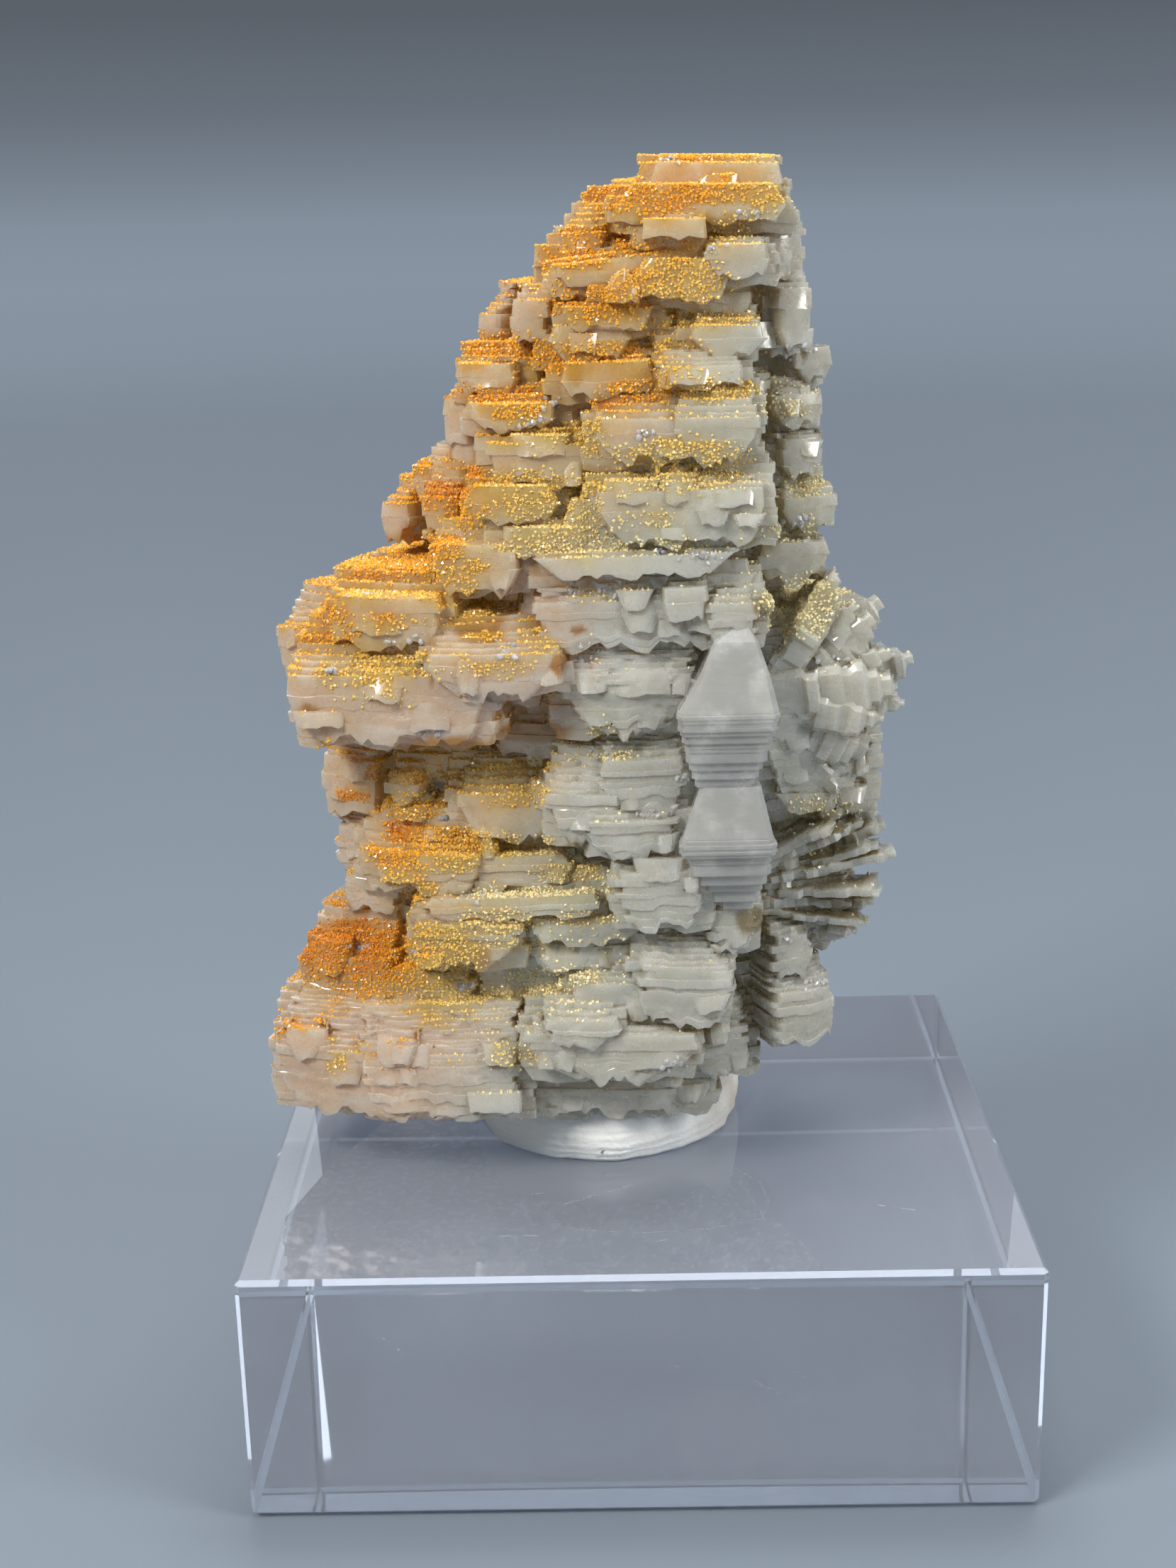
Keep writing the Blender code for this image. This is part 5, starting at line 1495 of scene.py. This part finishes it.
    def build(self, groups: Groups) -> bpy.types.Object:
        """Grow the crystals together and dress the solid.

        Returns:
            The cluster, which stands for its solid.
        """
        cluster = object_from(self.body(), "calcite_crystals")
        others = bpy.data.collections.new("crystals")
        bpy.context.scene.collection.children.link(others)
        for mesh in self.crystals():
            others.objects.link(bpy.data.objects.new(mesh.name, mesh))
        unite(cluster, others)
        for obj in list(others.objects):
            bpy.data.objects.remove(obj, do_unlink=True)
        bpy.data.collections.remove(others)
        keep_largest(cluster.data)
        self.mark_recess_shade(cluster.data)
        self.mark_rim_highlights(cluster.data)
        self.mark_sugar(cluster.data)
        cluster.data.shade_smooth()
        cluster.data.set_sharp_from_angle(angle=math.radians(self.sharp_angle))
        cluster.data.materials.clear()
        cluster.data.materials.append(self.finish.material(groups))
        finish = ClearFinish().material(groups)
        clear = object_from(self.clear_crystal("clear_upper"), "clear_crystals", finish)
        lower = bpy.data.collections.new("lower")
        lower.objects.link(bpy.data.objects.new("clear_lower", self.clear_crystal("clear_lower")))
        bpy.context.scene.collection.children.link(lower)
        unite(clear, lower)
        bpy.data.objects.remove(lower.objects[0], do_unlink=True)
        bpy.data.collections.remove(lower)
        place_piece(clear, "calcite", "calcite_cluster")
        return place_piece(cluster, "calcite", "calcite_cluster")


def place_piece(piece: bpy.types.Object, slot: str, *nodes: str) -> bpy.types.Object:
    """Let a piece ride on the specimen and stand for its nodes."""
    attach(piece, ROOT)
    if nodes:
        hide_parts(*nodes)
    LOG.info("%s: %d triangles", piece.name, sum(len(p.vertices) - 2 for p in piece.data.polygons))
    return piece


# The sugar

class Zone(Enum):
    """Each piece of sugar: its name, its lowest and highest Z, and the crusts that it stands for."""

    CROWN = ("sugar_crown", 77.2, 120.0, ("crown", "high_ledge", "left_ledge"))
    UPPER = ("sugar_upper", 66.2, 77.2, ("centre", "bell"))
    SHOULDER = ("sugar_shoulder", 53.0, 66.2, ("shoulder_top", "shoulder_face"))
    WAIST = ("sugar_waist", 39.8, 53.0, ("hollow", "waist"))
    FOOT = ("sugar_foot", 0.0, 39.8, ("dome", "foot"))

    @property
    def crusts(self) -> list[str]:
        """The nodes that the zone's sugar stands for."""
        return [f"wulfenite_crust_{place}" for place in self.value[3]]


def grain_mesh() -> bpy.types.Mesh:
    """One grain: a squashed double pyramid, a unit across."""
    plan = np.array([(0.5, 0.0), (0.0, 0.5), (-0.5, 0.0), (0.0, -0.5)])
    bm = bmesh.new()
    ring = [bm.verts.new((x, y, 0.0)) for x, y in plan]
    for tip in (bm.verts.new((0, 0, 0.34)), bm.verts.new((0, 0, -0.34))):
        for k in range(4):
            bm.faces.new((ring[k], ring[(k + 1) % 4], tip))
    bmesh.ops.recalc_face_normals(bm, faces=bm.faces)
    mesh = bpy.data.meshes.new("grain")
    bm.to_mesh(mesh)
    bm.free()
    return mesh


def sprinkle_tree() -> bpy.types.NodeTree:
    """Geometry Nodes that scatter grains over the faces that hold sugar, between two heights."""
    tree = bpy.data.node_groups.new("sprinkle", "GeometryNodeTree")
    for label, kind in (
        ("Geometry", "NodeSocketGeometry"), ("Grain", "NodeSocketObject"), ("Finish", "NodeSocketMaterial"),
        ("Density", "NodeSocketFloat"), ("Smallest", "NodeSocketFloat"), ("Largest", "NodeSocketFloat"),
        ("Low", "NodeSocketFloat"), ("High", "NodeSocketFloat"), ("Seed", "NodeSocketInt"),
    ):
        tree.interface.new_socket(label, in_out="INPUT", socket_type=kind)
    tree.interface.new_socket("Geometry", in_out="OUTPUT", socket_type="NodeSocketGeometry")
    w = Wiring(tree)
    given = w.add("NodeGroupInput").outputs
    up = w.add("ShaderNodeSeparateXYZ", {0: w.add("GeometryNodeInputPosition").outputs[0]}).outputs[2]
    above, below = w.math("GREATER_THAN", up, given["Low"]), w.math("LESS_THAN", up, given["High"])
    inside = w.math("MULTIPLY", above, below)
    sugar = w.add("GeometryNodeInputNamedAttribute", {"Name": "sugar"}, data_type="FLOAT").outputs[0]
    density = w.math("MULTIPLY", given["Density"], sugar)
    inputs = {"Mesh": given["Geometry"], "Selection": inside, "Density": density, "Seed": given["Seed"]}
    points = w.add("GeometryNodeDistributePointsOnFaces", inputs).outputs["Points"]
    tint = w.add("FunctionNodeRandomValue", {"Seed": given["Seed"]}, data_type="FLOAT")
    inputs = {"Geometry": points, "Name": "tint", "Value": tint.outputs[1]}
    marked = w.add("GeometryNodeStoreNamedAttribute", inputs, data_type="FLOAT", domain="POINT").outputs[0]
    inputs = {0: (0, 0, 0), 1: (FULL_TURN, FULL_TURN, FULL_TURN), "Seed": given["Seed"]}
    turn = w.add("FunctionNodeRandomValue", inputs, data_type="FLOAT_VECTOR")
    inputs = {2: given["Smallest"], 3: given["Largest"], "Seed": given["Seed"]}
    size = w.add("FunctionNodeRandomValue", inputs, data_type="FLOAT")
    shape = w.add("GeometryNodeObjectInfo", {"Object": given["Grain"]}).outputs["Geometry"]
    inputs = {"Points": marked, "Instance": shape, "Rotation": turn.outputs[0], "Scale": size.outputs[1]}
    grains = w.add("GeometryNodeInstanceOnPoints", inputs).outputs[0]
    real = w.add("GeometryNodeRealizeInstances", {0: grains}).outputs[0]
    dressed = w.add("GeometryNodeSetMaterial", {"Geometry": real, "Material": given["Finish"]}).outputs[0]
    w.add("NodeGroupOutput", {0: dressed})
    return tree


@dataclass
class SugarCoat:
    """The wulfenite sugar: tiny crystals sprinkled over the calcite's ledges, one piece for each zone."""

    finish: SugarFinish = field(default_factory=SugarFinish)
    per_mm2: float = 30.0
    smallest: float = 0.17
    largest: float = 0.38
    first_seed: int = 3

    def build(self, calcite: bpy.types.Object, groups: Groups) -> list[bpy.types.Object]:
        """Sprinkle every zone.

        Args:
            calcite: The cluster, whose faces say how much sugar they hold.
            groups: The shared shader groups.

        Returns:
            One piece for each zone.
        """
        tree = sprinkle_tree()
        grain = object_from(grain_mesh(), "grain")
        material = self.finish.material(groups)
        pieces = []
        for seed, zone in enumerate(Zone):
            name, low, high, _ = zone.value
            piece = object_from(calcite.data.copy(), name)
            modifier = piece.modifiers.new("sprinkle", "NODES")
            modifier.node_group = tree
            settings = {
                "Grain": grain, "Finish": material, "Density": self.per_mm2 / MM**2,
                "Smallest": self.smallest * MM, "Largest": self.largest * MM,
                "Low": low * MM, "High": high * MM, "Seed": seed + self.first_seed,
            }
            for item in tree.interface.items_tree:
                if item.in_out == "INPUT" and item.name in settings:
                    modifier[item.identifier] = settings[item.name]
            settle(piece)
            piece.data.name = name
            pieces.append(place_piece(piece, "wulfenite", *zone.crusts))
        bpy.data.objects.remove(grain, do_unlink=True)
        return pieces


# Glassy chips that glint: x and z in the front view, and how far each cluster spreads, in millimetres
GLINTS = (
    (-4.6, 77.5, 0.6), (-6.4, 76.1, 0.9), (1.2, 75.2, 0.5), (4.6, 66.5, 0.9), (6.0, 66.3, 0.7),
    (2.4, 66.8, 0.3), (11.9, 80.7, 1.1), (3.5, 93.7, 0.4), (9.0, 90.1, 0.5), (7.0, 88.0, 0.8),
    (-1.4, 64.0, 0.5), (-3.8, 63.9, 0.3), (-19.4, 64.2, 0.5), (-16.2, 60.9, 1.0), (-21.8, 58.4, 0.5),
    (-14.6, 53.6, 0.4), (-8.8, 59.9, 0.9), (-3.2, 59.4, 0.9), (7.3, 55.2, 0.9), (4.4, 49.6, 0.6),
    (9.5, 48.0, 0.5), (7.0, 45.0, 0.9), (-1.6, 51.8, 0.9), (1.6, 47.2, 0.7), (-11.6, 41.0, 0.7),
    (-12.6, 33.6, 0.6), (2.6, 26.9, 0.7), (11.5, 36.9, 1.2), (13.0, 33.5, 0.9), (18.2, 64.2, 1.0),
    (19.6, 60.6, 0.7), (16.0, 58.6, 0.8), (12.4, 68.6, 1.0), (-16.6, 36.4, 0.3), (-20.8, 36.9, 0.4),
    (-13.9, 47.0, 0.2),
)


@dataclass
class Chips:
    """Clusters of small glassy chips on the calcite, whose facets catch the light."""

    each: int = 11
    smallest: float = 0.14
    largest: float = 0.62

    def build(self, calcite: bpy.types.Object, groups: Groups) -> bpy.types.Object:
        """Set every chip on the surface that is seen at its place."""
        rng = random.Random("chips")
        mesh = calcite.data
        tree = BVHTree.FromPolygons([v.co for v in mesh.vertices], [p.vertices for p in mesh.polygons])
        eye = Vector(SIGHT) * MM
        bm = bmesh.new()
        for x, z, spread in GLINTS:
            for _ in range(self.each):
                seen = Vector((x + rng.gauss(0, spread), DRIFT_PLANE_Y, z + rng.gauss(0, spread * 0.35))) * MM
                place = tree.ray_cast(eye, (seen - eye).normalized())[0]
                if place is None:
                    continue
                size = rng.uniform(self.smallest, self.largest) * MM
                turn = Euler([rng.uniform(0, 2 * math.pi) for _ in range(3)]).to_matrix().to_4x4()
                shape = Matrix.Translation(place) @ turn @ Matrix.Diagonal((size, size, size * 0.6, 1.0))
                bmesh.ops.create_icosphere(bm, subdivisions=1, radius=0.5, matrix=shape)
        chips = bpy.data.meshes.new("glinting_chips")
        bm.to_mesh(chips)
        bm.free()
        finish = ClearFinish("glassy_chip", (0.95, 0.96, 0.97), (0.9, 0.9, 0.9), 1.7, 0.4)
        return place_piece(object_from(chips, "glinting_chips", finish.material(groups)), "calcite")


# Putty and block

@dataclass
class PuttyPad:
    """The lumpy pad of putty between the block and the cluster."""

    finish: PuttyFinish = field(default_factory=PuttyFinish)
    x: float = -2.2
    y: float = 2.2
    radius: float = 10.5
    foot: float = 19.03
    sides: int = 120
    rows: int = 30
    front_height: float = 5.4
    rise: float = 3.4
    bulges: tuple[tuple[float, float], ...] = (
        (0, 0.95), (0.05, 0.985), (0.25, 1.01), (0.5, 0.99), (0.8, 0.93), (1.0, 0.86),
    )

    def build(self, groups: Groups) -> bpy.types.Object:
        """Press the pad: a bulging side with level creases, higher at the right and the back."""
        rng = random.Random("putty")
        angles = np.linspace(0, 2 * math.pi, self.sides, endpoint=False)
        outward = np.column_stack((np.cos(angles), np.sin(angles)))
        lumps = 1 + 0.03 * np.sin(2 * angles + 0.6) + 0.018 * edge_wave(angles * 10, rng, (9.0, 5.0, 2.6))
        tall = self.front_height + self.rise * smooth(np.cos(angles - math.radians(35)), -0.6, 0.9)
        rings = []
        for k in range(self.rows):
            share = k / (self.rows - 1)
            bulge = float(np.interp(share, *zip(*self.bulges)))
            crease = -0.09 * (rng.random() < 0.35) * (share < 0.5) + rng.uniform(-0.03, 0.03)
            reach = self.radius * bulge * lumps + crease + 0.07 * edge_wave(angles * 10, rng, (4.0, 1.7, 0.9))
            ring = outward * reach[:, None] + (self.x, self.y)
            rings.append(np.column_stack((ring, self.foot + share * tall)))
        for inward in (0.75, 0.5, 0.2):
            edge = outward * (self.radius * inward * lumps)[:, None] + (self.x, self.y)
            rings.append(np.column_stack((edge, self.foot + tall * inward**0.1 + 0.3)))
        mesh = ring_mesh("putty_pad", rings, Matrix.Identity(4))
        pad = object_from(mesh, "putty_pad", self.finish.material(groups))
        pad.data.shade_smooth()
        return place_piece(pad, "putty", "mounting_putty")


@dataclass
class DisplayBlock:
    """The clear block that the specimen stands on."""

    finish: AcrylicFinish = field(default_factory=AcrylicFinish)
    node: str = "acrylic_block"

    def build(self, groups: Groups) -> None:
        """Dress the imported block."""
        block = frame["nodes"][self.node]
        block.data.materials.clear()
        block.data.materials.append(self.finish.material(groups))
        LOG.info("%s: dressed", self.node)


# Floor, lights and camera

@dataclass(frozen=True)
class Lamp:
    """An area light, or one that only shines in the gloss: place and size in metres, power in watts."""

    name: str
    place: Place
    size: tuple[float, float]
    power: float
    colour: Colour
    gloss_only: bool = False


LAMPS = (
    Lamp("key_left", (-0.26, -0.22, 0.34), (0.16, 0.12), 2.3, (1.0, 0.96, 0.90)),
    Lamp("fill_right", (0.34, -0.16, 0.24), (0.14, 0.24), 1.3, (1.0, 0.98, 0.95)),
    Lamp("top", (0.02, 0.08, 0.40), (0.20, 0.12), 0.9, (1.0, 0.99, 0.97)),
    Lamp("room", (0.0, 0.2, 1.0), (1.6, 1.6), 9.0, (0.93, 0.96, 1.0)),
    Lamp("back_left", (-0.10, 0.30, 0.15), (0.05, 0.10), 0.025, (0.9, 0.95, 1.0), gloss_only=True),
    Lamp("back_right", (0.12, 0.30, 0.15), (0.05, 0.12), 0.025, (0.9, 0.95, 1.0), gloss_only=True),
)
LIGHT_PATHS = {"max_bounces": 6, "diffuse_bounces": 2, "glossy_bounces": 3, "transmission_bounces": 6}


@dataclass
class Studio:
    """A pale cyclorama, soft lights and the camera.

    The floor's colour is lightened or darkened by height, from the floor up the wall, as painted light and
    shade.
    """

    radius: float = 0.9
    flat: float = 0.1
    wall: float = 1.1
    steps: int = 24
    drop: float = 0.0002
    floor_colour: Colour = (0.140, 0.170, 0.207)
    painted_light_by_height: tuple[tuple[float, float], ...] = (
        (0.0, 1.0), (0.014, 1.12), (0.024, 1.35), (0.038, 1.5), (0.055, 1.45),
        (0.072, 1.15), (0.095, 0.86), (0.141, 0.6), (0.3, 0.5),
    )
    world_colour: Colour = (0.74, 0.82, 0.95)
    world_light: float = 0.16
    look_at: Place = (0, 0, 0.05)
    lens: float = 47.83
    sensor: float = 36.0
    camera_place: Place = SIGHT
    pitch: float = 16.313
    roll: float = -1.327
    yaw: float = -0.811

    def cyclorama(self) -> bpy.types.Object:
        """A round floor that curves up into a wall all round."""
        profile = [(0.0, 0.0), (self.flat, 0.0)]
        corner = self.radius - self.flat
        for k in range(1, self.steps + 1):
            angle = math.pi / 2 * k / self.steps
            profile.append((self.flat + corner * math.sin(angle), corner * (1 - math.cos(angle))))
        profile.append((self.radius, self.wall))
        bm = bmesh.new()
        verts = [bm.verts.new((x, 0.0, z)) for x, z in profile]
        edges = [bm.edges.new(pair) for pair in zip(verts, verts[1:])]
        bmesh.ops.spin(
            bm, geom=verts + edges, cent=(0, 0, 0), axis=(0, 0, 1), angle=2 * math.pi, steps=4 * self.steps,
        )
        bmesh.ops.remove_doubles(bm, verts=bm.verts, dist=0.0001)
        bmesh.ops.recalc_face_normals(bm, faces=bm.faces)
        for face in bm.faces:
            face.smooth = True
        bmesh.ops.translate(bm, verts=bm.verts, vec=(0, 0, -self.drop))
        mesh = bpy.data.meshes.new("cyclorama")
        bm.to_mesh(mesh)
        bm.free()
        made, w, shader = new_material("pale_floor")
        height = w.add("ShaderNodeSeparateXYZ", {0: w.add("ShaderNodeTexCoord").outputs["Object"]}).outputs[2]
        # Painted light and shade: the floor's colour lightens and darkens by height.
        top = self.painted_light_by_height[-1][0]
        stops = [(z / top, tuple(shade * part for part in self.floor_colour)) for z, shade in self.painted_light_by_height]
        w.tree.links.new(w.ramp(w.spread(height, 0.0, top), stops), shader.inputs["Base Color"])
        shader.inputs["Roughness"].default_value = 0.6
        return object_from(mesh, "cyclorama", made)

    def light(self, lamp: Lamp) -> None:
        """Hang a lamp that looks at the specimen."""
        data = bpy.data.lights.new(lamp.name, "AREA")
        data.shape = "RECTANGLE"
        data.size, data.size_y = lamp.size
        data.energy = lamp.power
        data.color = lamp.colour
        hung = bpy.data.objects.new(lamp.name, data)
        hung.location = lamp.place
        hung.visible_camera = False
        hung.visible_diffuse = not lamp.gloss_only
        aim = Vector(self.look_at) - Vector(lamp.place)
        hung.rotation_euler = aim.to_track_quat("-Z", "Y").to_euler()
        bpy.context.scene.collection.objects.link(hung)

    def camera(self) -> None:
        """The camera at the photograph's angle."""
        pitch, roll, yaw = (math.radians(a) for a in (self.pitch, self.roll, self.yaw))
        ahead = Vector((math.sin(yaw) * math.cos(pitch), math.cos(yaw) * math.cos(pitch), -math.sin(pitch)))
        right = Vector((math.cos(yaw), -math.sin(yaw), 0))
        up = right.cross(ahead)
        level = math.cos(roll) * right + math.sin(roll) * up
        upright = -math.sin(roll) * right + math.cos(roll) * up
        data = bpy.data.cameras.new("camera")
        data.sensor_width = self.sensor
        data.lens = self.lens
        data.clip_start = 0.001
        camera = bpy.data.objects.new("camera", data)
        turned = Matrix((level, upright, -ahead)).transposed().to_4x4()
        turned.translation = Vector(self.camera_place) * MM
        camera.matrix_world = turned
        bpy.context.scene.collection.objects.link(camera)
        bpy.context.scene.camera = camera

    def build(self) -> None:
        """Set the floor, the lights and the camera."""
        self.cyclorama()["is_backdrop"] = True
        self.camera()
        for lamp in LAMPS:
            self.light(lamp)
        world = bpy.data.worlds.new("soft_room")
        world.use_nodes = True
        background = world.node_tree.nodes["Background"]
        background.inputs["Color"].default_value = (*self.world_colour, 1.0)
        background.inputs["Strength"].default_value = self.world_light
        bpy.context.scene.world = world
        bpy.context.scene.view_settings.view_transform = "Standard"
        for name, bounces in LIGHT_PATHS.items():
            setattr(bpy.context.scene.cycles, name, bounces)


def main() -> None:
    """Build every piece of the specimen in order."""
    logging.basicConfig(level=logging.INFO, format="%(message)s")
    groups = Groups()
    Studio().build()
    calcite = CalciteCluster().build(groups)
    SugarCoat().build(calcite, groups)
    Chips().build(calcite, groups)
    PuttyPad().build(groups)
    DisplayBlock().build(groups)
    boxes = {
        name: [list(map(float, corner)) for corner in box]
        for name, box in (("cad", CAD_BOX), ("visual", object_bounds()))
    }


if __name__ == "__main__":
    main()
